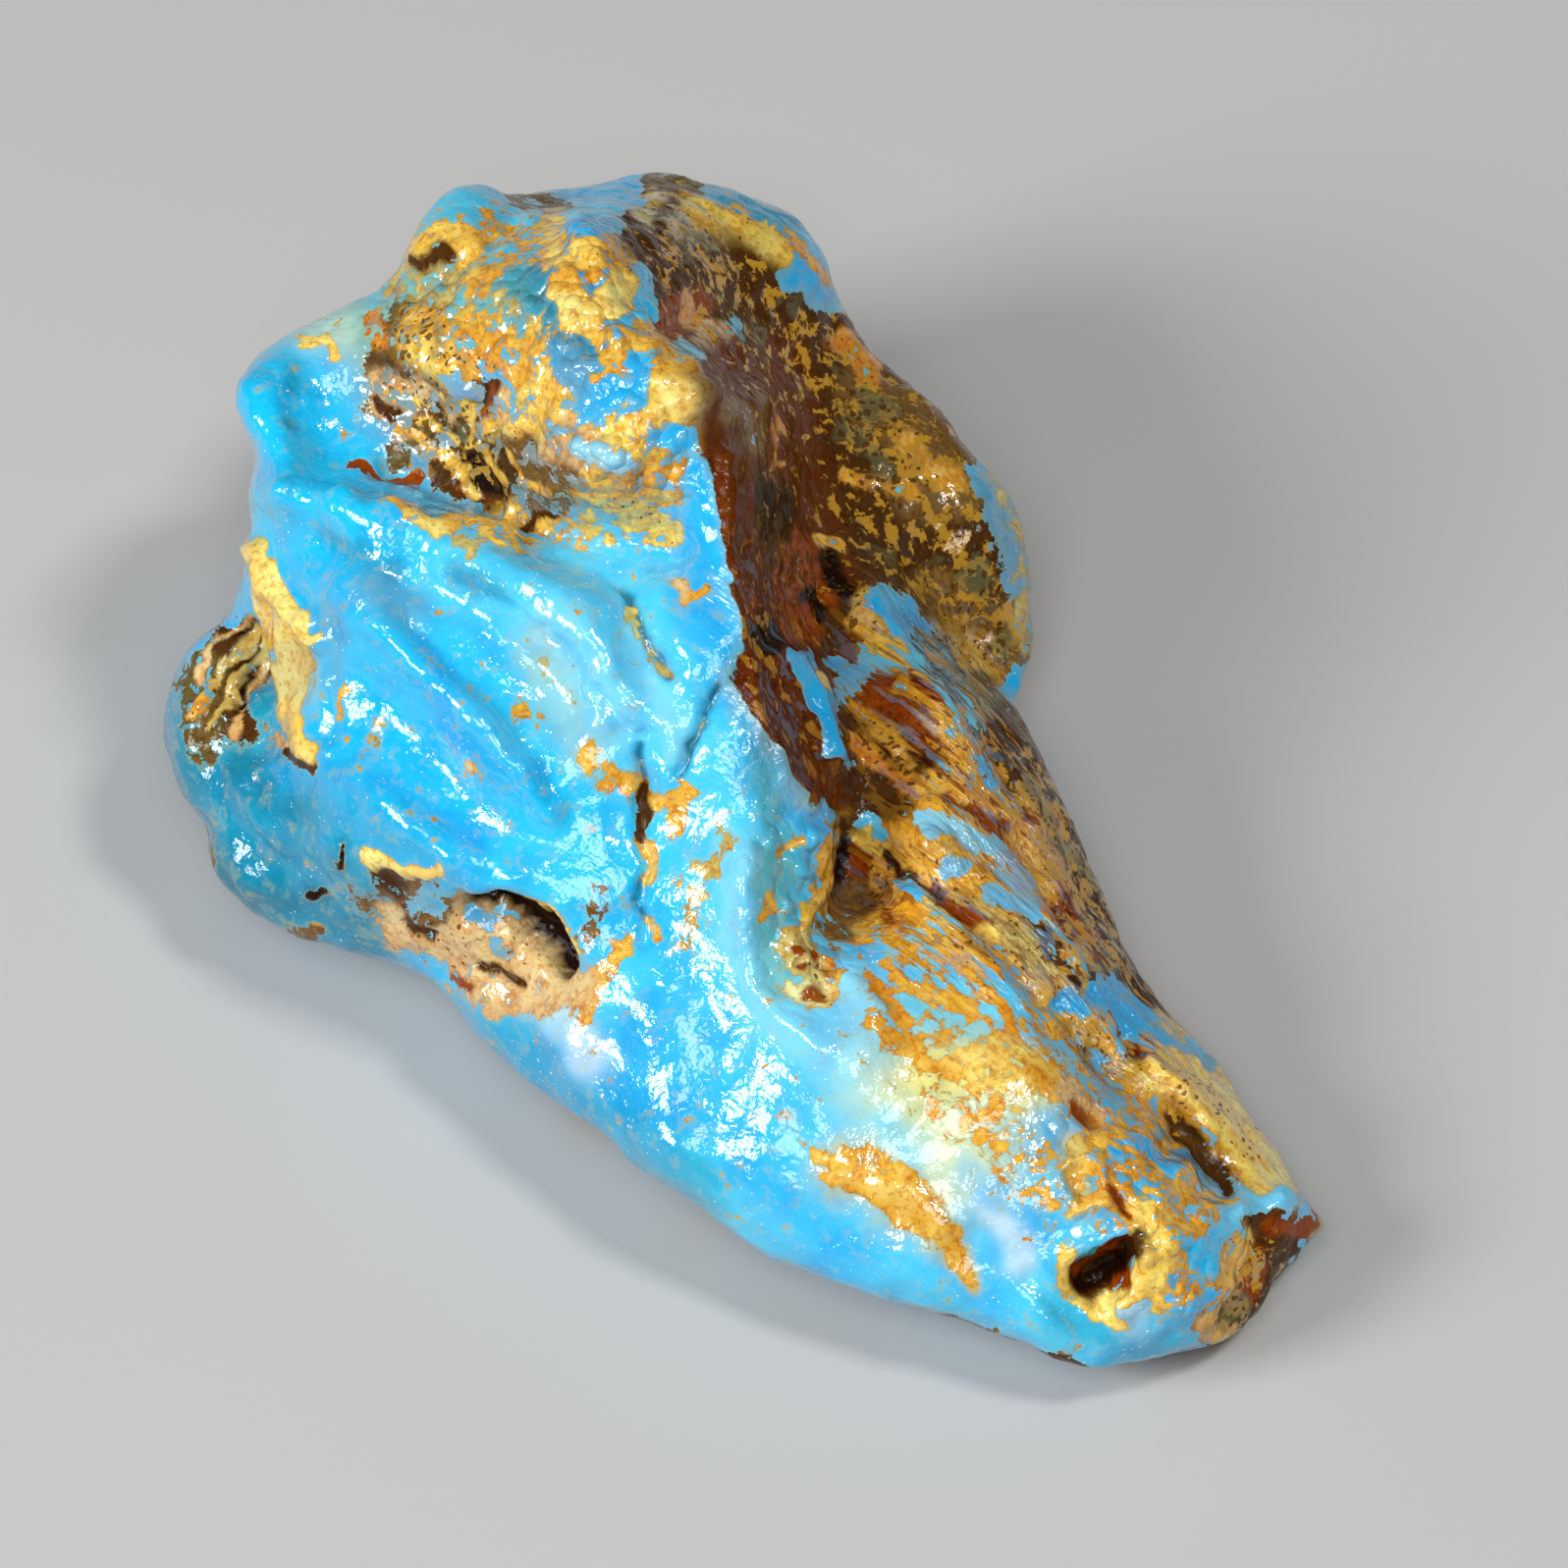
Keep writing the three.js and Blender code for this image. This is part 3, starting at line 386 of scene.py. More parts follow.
TAIL = [
    (OCHRE, 36, 60, 930+1030j, 1000+1060j, 1060+1110j, 1110+1180j),
    (AMBER, 42, 34, 1020+1130j, 1060+1160j, 1090+1180j),
    (AMBER, 90, 5, 884+996j, 912+1030j, 936+1074j),
    (OCHRE, 90, 6, 900+984j, 940+1014j, 984+1030j),
    (AMBER, 90, 5, 1004+1010j, 1030+1040j, 1044+1076j),
    (OCHRE, 80, 8, 912+1050j, 932+1070j, 944+1094j),
    (YELLOW, 90, 15, 975+1084j, 1010+1074j, 1045+1090j),
    (YELLOW, 70, 14, 1000+1110j, 1040+1120j),
    (OCHRE, 42, 30, 960+1130j, 1010+1160j, 1050+1200j),
    (OCHRE, 90, 10, 1056+1084j, 1074+1112j),
    (None, -10, 14, 1064+1136j, 1078+1150j),
    (TAN, 95, 9, 1086+1108j, 1110+1126j, 1134+1150j),
    (RUST, 115, 5, 1100+1124j, 1118+1136j),
    (STRAW, 100, 8, 1094+1154j, 1094+1190j, 1098+1226j),
    (GOLD, 110, 4.5, 1098+1200j, 1110+1190j, 1124+1200j, 1122+1216j, 1106+1224j, 1090+1236j),
    (None, -10, 6, 1111+1206j, 1112+1208j),
    (RUST, 110, 3, 1106+1189j, 1124+1196j),
    (OCHRE, 60, 40, 1150+1190j, 1190+1220j, 1220+1290j),
    (OCHRE, 85, 4, 1190+1210j, 1216+1222j, 1242+1214j, 1262+1222j),
    (OCHRE, 85, 4, 1206+1252j, 1236+1256j, 1244+1280j, 1230+1312j, 1240+1340j),
    (OCHRE, 85, 4, 1240+1250j, 1262+1262j),
    (OCHRE, 85, 4, 1180+1190j, 1196+1216j, 1190+1246j),
    (None, -10, 10, 1144+1168j, 1186+1186j),
    (OCHRE, 56, 16, 1120+1080j, 1160+1120j, 1200+1160j),
    (OCHRE, 80, 4, 1132+1160j, 1158+1180j, 1176+1196j),
    (GOLD, 100, 14, 1160+1240j, 1172+1280j, 1180+1320j),
    (RUST, 110, 4, 1130+1214j, 1142+1222j, 1150+1236j),
    (GOLD, 110, 9, 1086+1276j, 1090+1306j, 1108+1328j, 1136+1346j),
    (BROWN, 110, 17, 1112+1300j, 1122+1304j),
    (BROWN, 110, 10, 1130+1288j, 1144+1272j, 1156+1264j),
    (PITCH, 120, 7, 1108+1308j, 1126+1302j, 1138+1286j),
    (RUST, 110, 5, 1100+1292j, 1120+1276j, 1136+1264j),
    (YELLOW, 120, 8, 1128+1328j, 1150+1322j, 1162+1300j),
    (RUST, 100, 4, 1134+1314j, 1144+1302j),
    (None, -10, 10, 1210+1180j, 1228+1186j),
    (None, -10, 10, 1268+1226j, 1276+1246j),
    (None, -10, 10, 1220+1274j, 1226+1284j),
    (MUSTARD, 125, 22, 870+1190j, 906+1208j, 940+1238j),
    (MUSTARD, 105, 7, 834+1180j, 860+1190j),
    (MUSTARD, 100, 12, 942+1236j, 966+1262j),
    (MUSTARD, 90, 6, 966+1262j, 988+1300j),
    (OCHRE, 80, 9, 880+1186j, 920+1200j, 950+1222j),
    (OCHRE, 100, 4, 830+1178j, 852+1188j),
    (OCHRE, 95, 4, 838+1200j, 858+1204j),
    (YELLOW, 130, 25, 1176+1070j, 1212+1100j, 1250+1124j, 1284+1178j, 1300+1200j),
    (GOLD, 130, 12, 1180+1082j, 1216+1112j, 1244+1140j, 1270+1180j),
    (HONEY, 110, 9, 1190+1124j, 1222+1162j, 1252+1198j),
    (BROWN, 110, 5, 1194+1136j, 1222+1170j, 1252+1204j),
    (TAN, 90, 12, 1136+1036j, 1162+1064j),
    (RUST, 120, 6, 1148+1054j, 1160+1072j),
    (None, -20, 13, 1130+1006j, 1160+1040j),
    (None, -20, 8, 1180+1056j, 1236+1078j),
    (None, -10, 11, 1236+1262j, 1262+1236j),
    (None, -10, 11, 1212+1340j, 1250+1316j),
    (BROWN, 115, 28, 1294+1262j, 1280+1310j, 1256+1354j),
    (OCHRE, 70, 8, 1268+1264j, 1252+1300j, 1236+1330j),
    (ORANGE, 120, 7, 1276+1290j, 1262+1330j),
    (RUST, 100, 4, 1284+1280j, 1270+1330j),
    (RUST, 110, 8, 1300+1252j, 1334+1246j),
    (OCHRE, 90, 8, 1232+1352j, 1254+1366j),
    (None, -20, 9, 1268+1232j, 1306+1220j),
    (STRAW, 90, 7, 1340+1254j, 1352+1250j),
    (BROWN, 110, 7, 960+1344j, 1040+1378j, 1130+1408j),
]
BLUE_FACE = [
    (TAN, 100, 7, 691+588j, 695+606j),
    (OCHRE, 80, 4, 700+606j, 722+600j),
    (YELLOW, 100, 5, 645+613j, 650+642j),
    (STRAW, 60, 4, 652+650j, 668+672j, 690+696j),
    (STRAW, 50, 9, 546+672j, 550+692j),
    (OCHRE, 55, 9, 530+716j, 552+736j),
    (OCHRE, 70, 14, 600+772j, 624+792j, 642+796j),
    (OCHRE, 100, 9, 664+816j, 704+812j, 686+840j),
    (OCHRE, 90, 5, 696+796j, 712+804j),
    (OCHRE, 115, 8, 656+860j, 660+892j),
    (BROWN, 110, 4, 650+800j, 655+826j, 652+852j),
    (OCHRE, 100, 6, 660+938j, 668+956j),
    (STRAW, 65, 9, 734+850j, 726+888j, 708+884j),
    (STRAW, 65, 9, 706+914j, 698+954j),
    (OCHRE, 85, 9, 640+962j, 620+986j, 604+1010j, 590+1040j),
    (DRAB, 60, 10, 612+912j, 596+960j),
    (OCHRE, 45, 12, 470+780j, 480+790j),
    (STRAW, 45, 10, 380+740j, 376+780j),
]
RIND = [
    (TAN, 115, 30, 412+938j, 470+952j, 548+984j, 566+1000j),
    (DRAB, 66, 17, 396+896j, 440+920j),
    (TAN, 80, 18, 480+1000j, 510+1020j, 550+1020j),
    (None, 10, 8, 432+908j, 444+918j),
    (None, 10, 8, 486+934j, 496+938j),
    (None, 10, 8, 510+962j, 520+968j),
    (BROWN, 75, 7, 388+886j, 404+904j),
    (BROWN, 100, 4, 416+938j, 444+952j),
    (RUST, 90, 5, 462+1000j, 476+1006j),
    (BROWN, 100, 3, 484+984j, 530+999j),
    (YELLOW, 130, 6, 376+866j, 404+878j, 434+890j, 450+884j),
    (YELLOW, 150, 6, 536+914j, 566+934j, 586+968j),
    # Painted shadow: near-black in the crescent cleft under the lip.
    (PITCH, 220, 7, 484+922j, 512+919j, 538+928j, 560+950j, 574+978j),
    (DRAB, 70, 9, 362+908j, 372+920j),
]
LEFT_LOBE = [
    (BROWN, 100, 26, 236+660j, 222+700j, 240+735j),
    (PITCH, 110, 9, 252+640j, 256+670j, 244+706j),
    (OLIVE, 70, 18, 205+690j, 200+730j, 215+760j),
    (TAN, 90, 2.5, 256+628j, 226+652j, 200+690j),
    (STRAW, 90, 2.5, 258+640j, 228+680j, 206+722j),
    (STRAW, 90, 2.5, 260+652j, 238+696j, 222+740j),
    (TAN, 90, 2.5, 262+664j, 252+704j, 240+748j),
    (OCHRE, 80, 5, 214+700j, 208+728j),
    (YELLOW, 160, 11, 259+560j, 264+590j, 272+618j),
    (YELLOW, 160, 6, 268+576j, 294+612j, 322+646j),
    (GOLD, 150, 11, 280+620j, 290+646j, 300+656j),
    (AMBER, 140, 7, 266+650j, 276+668j, 284+684j),
    (STRAW, 140, 12, 304+668j, 300+700j, 303+730j),
    (GOLD, 140, 8, 298+724j, 308+752j, 316+766j),
    (None, -10, 9, 266+714j, 272+740j),
    (TAN, 90, 7, 280+752j, 296+764j),
    (BROWN, 100, 5, 298+768j, 318+779j),
    (OCHRE, 90, 5, 334+732j, 352+702j),
    (PITCH, 100, 6, 314+914j, 328+908j),
    (PITCH, 90, 3, 350+862j, 351+882j),
    (DRAB, 60, 9, 205+850j, 212+880j),
    (DRAB, 60, 7, 290+952j, 320+962j),
]
COVERINGS = DOME + FAR_SIDE + HOLLOW + FLANK + TAIL + BLUE_FACE + RIND + LEFT_LOBE

# Where the crust is speckled with dark brown, and where it is flecked with ochre: share in
# percent, half width and points.
SPECKLED = [
    (65, 60, 420+350j, 440+430j, 490+480j),
    (60, 60, 660+220j, 760+300j, 860+420j, 940+540j, 1000+640j),
    (85, 44, 790+560j, 840+620j),
    (60, 40, 890+745j, 930+770j, 950+800j),
    (55, 26, 820+980j, 840+1000j),
    (50, 40, 1100+1040j, 1200+1100j, 1260+1160j),
    (45, 50, 1040+760j, 1140+960j),
    (50, 40, 430+930j, 520+980j),
    (50, 16, 222+690j, 228+740j),
    (50, 40, 1290+1260j, 1260+1330j),
    (50, 50, 900+900j, 960+900j, 1040+980j),
    (35, 40, 640+520j, 690+540j),
]
FLECKED = [
    (40, 60, 700+240j, 800+350j, 900+440j),
    (48, 50, 880+420j, 960+500j, 1010+640j),
    (36, 40, 870+500j, 930+590j),
    (15, 40, 780+430j, 820+560j, 850+640j),
    (14, 36, 890+760j, 930+790j),
    (50, 40, 1050+800j, 1130+960j),
    (40, 30, 440+340j, 480+480j),
    (45, 30, 1100+1040j, 1180+1120j),
    (45, 30, 1280+1290j, 1250+1350j),
]

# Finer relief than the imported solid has: how far it stands out in mm, half width and points.
RELIEF = [
    # Knobs and pockets of the dome.
    (0.3, 24, 600+238j),
    (0.3, 22, 590+312j, 615+308j),
    (0.35, 26, 702+406j),
    (0.35, 26, 625+462j),
    (-0.6, 12, 600+345j),
    (-0.6, 24, 420+410j, 450+450j),
    (-0.7, 9, 395+472j, 440+490j, 490+508j, 540+534j, 600+553j),
    (-0.5, 10, 462+480j, 496+496j),
    (-0.35, 7, 380+375j, 402+392j),
    (-0.3, 6, 490+400j, 476+430j, 500+462j),
    (0.35, 8, 394+518j, 430+533j, 476+536j, 522+548j),
    (-0.35, 7, 420+300j, 470+262j, 520+232j),
    # Folds and clefts of the blue face.
    (0.45, 14, 345+512j, 420+542j, 500+572j, 570+612j, 612+662j, 640+720j),
    (-0.35, 14, 330+552j, 400+588j, 470+612j, 530+660j, 580+720j),
    (0.6, 12, 385+636j, 440+686j, 490+738j, 530+786j, 560+830j),
    (-0.3, 9, 420+640j, 475+690j, 525+745j, 560+790j),
    (-0.3, 14, 366+690j, 420+745j, 470+806j),
    (0.45, 11, 500+600j, 560+640j, 598+690j, 610+740j),
    (0.5, 17, 366+790j, 430+850j, 480+882j),
    (0.25, 8, 470+640j, 505+680j, 550+700j),
    (-0.3, 7, 560+640j, 610+700j, 640+745j),
    (0.3, 12, 270+500j, 300+512j, 350+508j),
    (-0.5, 4, 736+702j, 714+726j, 702+760j, 692+786j),
    (-0.5, 5, 638+596j, 650+620j, 660+656j, 684+690j),
    (-0.5, 5, 651+750j, 653+850j, 656+960j),
    (0.25, 9, 670+735j, 690+765j, 680+800j),
    (0.3, 14, 670+600j, 690+640j, 700+690j),
    (-0.3, 8, 300+600j, 335+640j, 336+700j, 330+750j),
    (-0.25, 10, 240+850j, 300+930j, 340+950j),
    (0.25, 12, 215+860j, 270+920j),
    (0.4, 16, 200+720j, 196+760j),
    (0.35, 18, 236+800j, 262+836j),
    (-0.35, 9, 216+780j, 250+850j, 290+890j),
    (-0.3, 8, 200+830j, 240+900j, 300+940j),
    (0.35, 14, 330+860j, 372+900j),
    (0.3, 12, 232+880j, 260+900j),
    (0.35, 16, 262+400j, 262+430j),
    (-0.3, 12, 300+420j, 330+450j),
    (0.3, 14, 350+430j, 372+460j),
    (-0.35, 8, 560+560j, 600+580j, 650+590j),
    (0.3, 12, 600+610j, 640+640j),
    (-0.3, 7, 480+600j, 530+622j, 575+660j, 600+720j),
    (0.25, 14, 480+1010j, 540+1030j, 590+1080j),
    # The hollow's edge, its rib and the blue fin in it.
    (0.4, 7, 742+470j, 743+560j, 752+640j, 768+720j, 800+790j, 840+830j),
    (-0.35, 7, 760+500j, 764+600j, 786+700j),
    (0.35, 7, 790+660j, 815+720j, 850+790j),
    (0.55, 9, 808+674j, 830+712j, 848+768j),
    (0.4, 10, 745+340j, 768+372j, 776+410j),
    (-0.5, 8, 684+330j, 716+320j),
    (0.3, 9, 870+684j, 890+706j),
    # The pit below it, its nub and the beads beside it.
    (-0.7, 10, 872+852j, 862+900j),
    (0.45, 7, 838+850j, 836+900j, 816+942j),
    (0.55, 22, 824+984j),
    (-0.5, 6, 811+986j),
    (-0.5, 6, 834+986j),
    (-0.4, 5, 838+1012j),
    (0.35, 9, 822+856j),
    (0.35, 9, 816+890j),
    (0.35, 8, 758+870j, 758+930j, 766+1000j, 796+1036j, 840+1072j),
    (0.3, 9, 868+1000j, 892+1030j),
    # Ribs and grooves of the flank.
    (0.35, 9, 950+822j, 1010+862j, 1062+930j, 1110+990j),
    (-0.4, 7, 1000+800j, 1044+866j, 1090+950j),
    (-0.4, 7, 930+880j, 1000+950j, 1060+1020j),
    (0.3, 7, 900+896j, 960+925j, 1020+980j),
    (-0.3, 5, 922+936j, 950+954j),
    (0.3, 8, 960+700j, 1010+760j, 1060+840j),
    (-0.35, 7, 930+650j, 980+720j, 1030+800j),
    # The rind and its crescent cleft.
    (-1.1, 10, 486+922j, 512+919j, 538+928j, 560+950j, 574+978j),
    (0.4, 9, 480+900j, 525+898j, 566+924j, 596+972j),
    (0.45, 14, 430+935j, 500+953j, 552+985j),
    (-0.45, 5, 482+983j, 530+999j),
    (-0.4, 5, 414+938j, 446+952j),
    (0.3, 9, 375+868j, 436+892j),
    # Folds, fibres and the pit of the left lobe.
    (0.6, 8, 258+558j, 276+600j, 326+654j),
    (0.5, 10, 288+640j, 296+700j, 312+768j),
    (-0.8, 11, 250+646j, 264+690j),
    (-0.5, 8, 240+712j),
    (0.3, 5, 238+650j, 218+690j, 206+730j),
    (0.3, 5, 252+660j, 236+700j, 226+745j),
    (0.4, 12, 270+728j),
    # The tail: its ring, pits, grooves and end.
    (
        0.45, 6,
        1080+1192j, 1102+1178j, 1126+1192j, 1126+1222j, 1100+1234j, 1080+1216j, 1080+1192j,
    ),
    (-0.6, 14, 1112+1300j, 1122+1300j),
    (-0.5, 9, 1130+1290j, 1148+1268j),
    (0.45, 8, 1088+1276j, 1112+1262j, 1150+1250j, 1168+1276j, 1160+1310j, 1140+1338j),
    (-0.35, 4, 1130+1214j, 1142+1222j, 1150+1236j),
    (-0.5, 7, 1102+1126j, 1118+1136j),
    (-0.5, 7, 1148+1054j, 1160+1072j),
    (-0.5, 7, 1080+1020j, 1112+1066j, 1140+1100j),
    (-0.45, 7, 1190+1132j, 1222+1170j, 1252+1206j),
    (-0.5, 9, 1285+1245j, 1272+1300j, 1250+1350j),
    (0.25, 10, 842+1196j, 920+1208j, 962+1252j),
    (0.3, 14, 1226+1262j, 1262+1238j),
    (0.3, 14, 1220+1330j, 1250+1316j),
    (0.4, 7, 1300+1216j, 1336+1250j),
    (-0.3, 8, 1050+1300j, 1100+1350j),
]

# Round glossy bubbles: middle and radius in pixels. Each stands out by a share of its radius, and is
# half as high at another share of it.
BUBBLES = [
    (590+456j, 11), (626+464j, 19), (617+420j, 10), (640+411j, 12), (571+429j, 12), (684+452j, 12),
    (628+347j, 13), (567+349j, 11), (583+380j, 13), (556+334j, 9), (470+399j, 12), (449+406j, 9),
    (554+464j, 12), (575+476j, 10), (521+444j, 12), (495+444j, 9), (527+428j, 9), (705+404j, 22),
    (743+424j, 10), (610+262j, 12), (598+240j, 16), (655+452j, 13), (602+487j, 11), (640+492j, 10),
    (668+418j, 11), (610+388j, 10), (655+385j, 10), (540+398j, 12), (508+410j, 10), (520+372j, 10),
    (490+365j, 10), (545+365j, 9), (690+492j, 12), (716+462j, 13), (560+500j, 10), (535+492j, 9),
    (648+325j, 11), (668+352j, 11), (700+372j, 12), (500+330j, 9), (470+345j, 9), (440+375j, 10),
    (540+312j, 10), (575+272j, 9), (648+282j, 12), (480+250j, 12), (514+246j, 10), (540+226j, 11),
    (1104+1208j, 13), (1165+1160j, 16), (1200+1196j, 18), (1224+1240j, 14), (1196+1262j, 14),
    (1178+1222j, 12), (1230+1300j, 16), (1205+1330j, 14), (1150+1335j, 12), (1260+1236j, 15),
    (1300+1226j, 12), (1340+1252j, 10), (822+858j, 9), (812+890j, 9), (803+925j, 8), (876+838j, 9),
    (262+786j, 12), (292+786j, 13), (277+812j, 9), (240+800j, 10), (330+768j, 9), (640+812j, 9),
]
BUBBLE_RISE = 0.70
BUBBLE_SPREAD = 0.75

# Regions with a grain of their own: share in percent, half width and points.
BUBBLY = [
    (100, 60, 440+320j, 540+330j, 600+280j, 620+400j, 560+460j, 660+470j),
    (80, 40, 800+870j, 830+980j),
    (70, 60, 1120+1180j, 1180+1280j, 1240+1300j),
]
STREAKED = [
    (100, 70, 930+690j, 1000+800j, 1060+900j, 1120+1000j, 1150+1040j),
    (80, 50, 920+900j, 1000+980j),
    (70, 40, 760+600j, 800+760j),
]
GRAINY = [
    (100, 70, 700+240j, 800+340j, 880+440j, 950+540j, 1000+640j),
    (90, 50, 800+480j, 830+600j),
    (100, 45, 900+750j, 930+790j),
    (90, 50, 420+400j, 480+460j),
    (100, 40, 430+940j, 540+980j),
    (80, 40, 1220+1100j, 1280+1180j),
    (80, 36, 230+690j, 240+740j),
]

# The share that is covered where no stroke lies, the shares from which a stroke's edge is crisp,
# and how ragged a crisp edge still is.
BARE_COVER = -0.12
CRISP_COVER = 1.2
CRISP_BARE = -0.3
CRISP_EDGE = 0.25

# How strong a stroke's mark is where it starts to cover, fray or colour, and where it does so fully.
COVER_RAMP = (0.05, 0.85)
RAGGED_RAMP = (0.02, 0.35)
CRUST_RAMP = (0.08, 0.40)

# How much noise varies a tint's mark, and how far the mark is strengthened.
TINT_PATCHINESS = 0.5
TINT_STRENGTH = 1.3

# How squarely the skin has to face the view for a share to start, and to be full.
REFINED_FACING = (0.0, 0.2)
RAISED_FACING = (-0.10, 0.25)
GRAINED_FACING = (-0.5, 0.0)
PAINTED_FACING = (-0.12, 0.10)

# How far noise shifts the strokes, in pixels.
RELIEF_WAVER = 6
COLOUR_WAVER = 9

# Noises over the skin: size of the swirls in metres, octaves, and a shift that sets each apart.
# Streaks and ribs are stretched along X.
SWIRLS = {
    "column": (0.0014, 2, 31.0),
    "row": (0.0014, 2, 37.0),
    "wave": (0.0034, 3, 0.0),
    "crease": (0.0026, 2, 23.0),
    "grain": (0.0011, 3, 7.0),
    "rib": (0.0013, 3, 2.0),
    "streak": (0.0016, 3, 5.0),
    "soft": (0.009, 3, 3.0),
    "patchy": (0.006, 3, 11.0),
    "cloudy": (0.012, 2, 19.0),
}
STREAK_STRETCH = np.array([0.22, 1.0, 1.0])

# How far the noises move the skin, in mm, how much streaks and bubbles calm its waves, and how much
# streaks add to the crust.
WAVE_RISE = 0.16
CREASE_DEPTH = 0.16
PLAIN_GRAIN_RISE = 0.03
GRAIN_RISE = 0.17
RIB_RISE = 0.26
CALMED = 0.6
STREAKED_COVER = 0.5

# Knobs between the bubbles: size in metres, reach as a share of it, rise in mm, and the share of
# their height that stays level with the skin.
KNOB_SIZE = 0.0014
KNOB_REACH = 0.6
KNOB_RISE = 0.20
KNOB_LEVEL = 0.4
LEAST_BUBBLY = 0.05

# The height above the floor, in metres, from which the relief is full.
RELIEF_CLEARANCE = 0.0012

# The sides that the view hides: their shares, and how much crust they have where the noises are
# nothing, for each noise, and for each metre towards the back.
HIDDEN_GRAINY = 0.8
HIDDEN_SHARES = {"ragged": 1.0, "streaked": 0.1, "bubbly": 0.0, "speckled": 0.45, "flecked": 0.3}
HIDDEN_COVER = 0.35
HIDDEN_PATCHES = 1.1
HIDDEN_CLOUDS = 0.9
HIDDEN_GROWTH = 1 / 0.06

# Colours that follow a noise: its name, 1 or -1 for where it's high or low, where the colour starts
# and where it's full, its share there, and the colour.
SEEN_BODY = [
    ("soft", 1, 0.0, 0.5, 1.0, CYAN),
    ("soft", -1, 0.1, 0.5, 0.6, AZURE),
]
HIDDEN_BODY = [
    ("cloudy", 1, -0.2, 0.4, 1.0, TEAL),
    ("patchy", 1, 0.2, 0.5, 1.0, CYAN),
]
HIDDEN_CRUST = [
    ("soft", 1, -0.1, 0.2, 1.0, BROWN),
    ("patchy", 1, 0.15, 0.4, 1.0, OLIVE),
    ("patchy", -1, 0.2, 0.5, 1.0, TAN),
]

# The skin: how near points merge in metres, how bent joined triangles may be in radians, how often
# it's rounded, its face budget, the triangles that one split adds, and the widest stroke in pixels
# that gets smaller faces, with its fringe.
SAME_PLACE = 1e-6
JOINED_ANGLE = 1.5
ROUNDING_LEVELS = 2
MOST_TRIANGLES = 198000
TRIANGLES_PER_SPLIT = 7
NARROW_STROKE = 9
FRINGE = 4

# The material's noises, over millimetres: scale, detail and roughness.
NOISES = {
    "warp": (1.1, 2.0, 0.5),
    "lace": (1.3, 4.0, 0.64),
    "fine": (3.2, 2.0, 0.6),
    "tone": (0.5, 2.0, 0.55),
    "streak": (2.3, 3.0, 0.62),
    "threads": (1.7, 2.0, 0.6),
    "wrinkles": (0.9, 2.0, 0.5),
}
WARP_REACH = 0.9
STREAK_SQUEEZE = (0.12, 1.0, 1.0)
THREAD_SQUEEZE = (0.10, 0.9, 0.9)
DOT_SCALE = 2.3
BLISTER_SCALE = 1.3

# How far the lace swings the cover, and the depth from which the crust starts to hide the stone.
LACE_SWING = 3.4
COVERED_DEPTH = (0.46, 0.54)

# Layers of the material's colours: the field that a layer follows, where the layer starts and where
# it's full, its share there, and its colour. A shade's colour multiplies the one below it.
BODY_SHADES = [("tone", 0.45, 0.65, 0.50, (0.60, 0.76, 0.93))]
BODY_VEILS = [
    ("pattern", 0.46, 0.30, 0.05, PALE),
    ("depth", -0.10, 0.50, 0.25, STRAW),
    ("depth", 0.25, 0.50, 0.35, SEA_GREEN),
]
CORE_VEIL = [("depth", 0.75, 1.50, 0.36, CREAM)]
CRUST_SHADES = [
    ("tone", 0.42, 0.60, 0.70, (0.88, 0.66, 0.40)),
    ("fine", 0.50, 0.64, 0.75, (0.76, 0.50, 0.28)),
    ("depth", 0.95, 0.60, 0.50, (0.88, 0.64, 0.38)),
    ("depth", 0.62, 0.50, 0.70, (0.60, 0.38, 0.22)),
]
STREAK_SHADES = [("streak", 0.53, 0.59, 1.0, (0.36, 0.16, 0.08))]
THREAD_VEILS = [
    ("threads", 0.55, 0.61, 0.60, AMBER),
    ("threads", 0.44, 0.39, 0.40, SLATE),
]
FLECK_VEIL = [("flecks", 0.40, 0.62, 1.0, HONEY)]
MOSS_VEIL = [("tone", 0.54, 0.64, 0.60, MOSS)]

# Where those layers may lie at all: from which value of a field, and from where fully.
BRIGHT_CRUST = (0.15, 0.45)
ANY_FLECKS = (0.05, 0.20)
MANY_FLECKS = (0.20, 0.40)

# Dark specks on the crust: how far they reach from a dot's middle, and how strong they are. Painted
# highlights, white glints on the bare stone, lie at the dots' middles.
SPECK_REACH = 0.55
SPECK_TONE = 0.60
SPECK_START = -0.32
SPECK_EDGE = (-0.02, 0.06)
SPECK_SHARE = (0.05, 0.20, 0.0, 0.85)
PAINTED_GLINT_EDGE = (0.15, 0.09, 0.0, 0.7)
PAINTED_GLINT_TONE = (0.47, 0.55)

# The bump of the skin: heights as shares of its depth in metres.
BUMP_DEPTH = 0.0004
WRINKLE_HEIGHT = 0.32
FINE_HEIGHT = 0.085
RIB_HEIGHT = 0.80
BLISTER_HEIGHT = 0.45

# The gloss: by how light the colour is, from dark to light, and the same all over.
ROUGHNESS_RAMP = (0.02, 0.30, 0.16, 0.32)
COAT_RAMP = (0.02, 0.32, 0.10, 1.0)
COAT_ROUGHNESS = 0.08
COAT_IOR = 1.60
SPECULAR_LEVEL = 0.05
IOR = 1.54

# The floor, in metres: its reach, and how far it lies below the stone's flat.
FLOOR_COLOUR = (0.54, 0.54, 0.53)
FLOOR_ROUGHNESS = 0.8
FLOOR_REACH = 1.5
FLOOR_DROP = 0.00005

# Square lights: metres right, up and near of the stone's middle in the reference view, width in
# metres and power in watts.
LIGHTS = {
    "key": (-0.54, 0.06, 0.48, 0.26, 3.6),
    "front": (-0.06, 0.06, 0.72, 0.30, 1.7),
    "fill": (0.28, 0.32, 0.58, 0.12, 1.8),
}
WORLD_LIGHT = 0.08

# The camera's sensor in mm, and the nearest and farthest that it sees in metres.
SENSOR = 36
NEAREST = 0.01
FARTHEST = 10


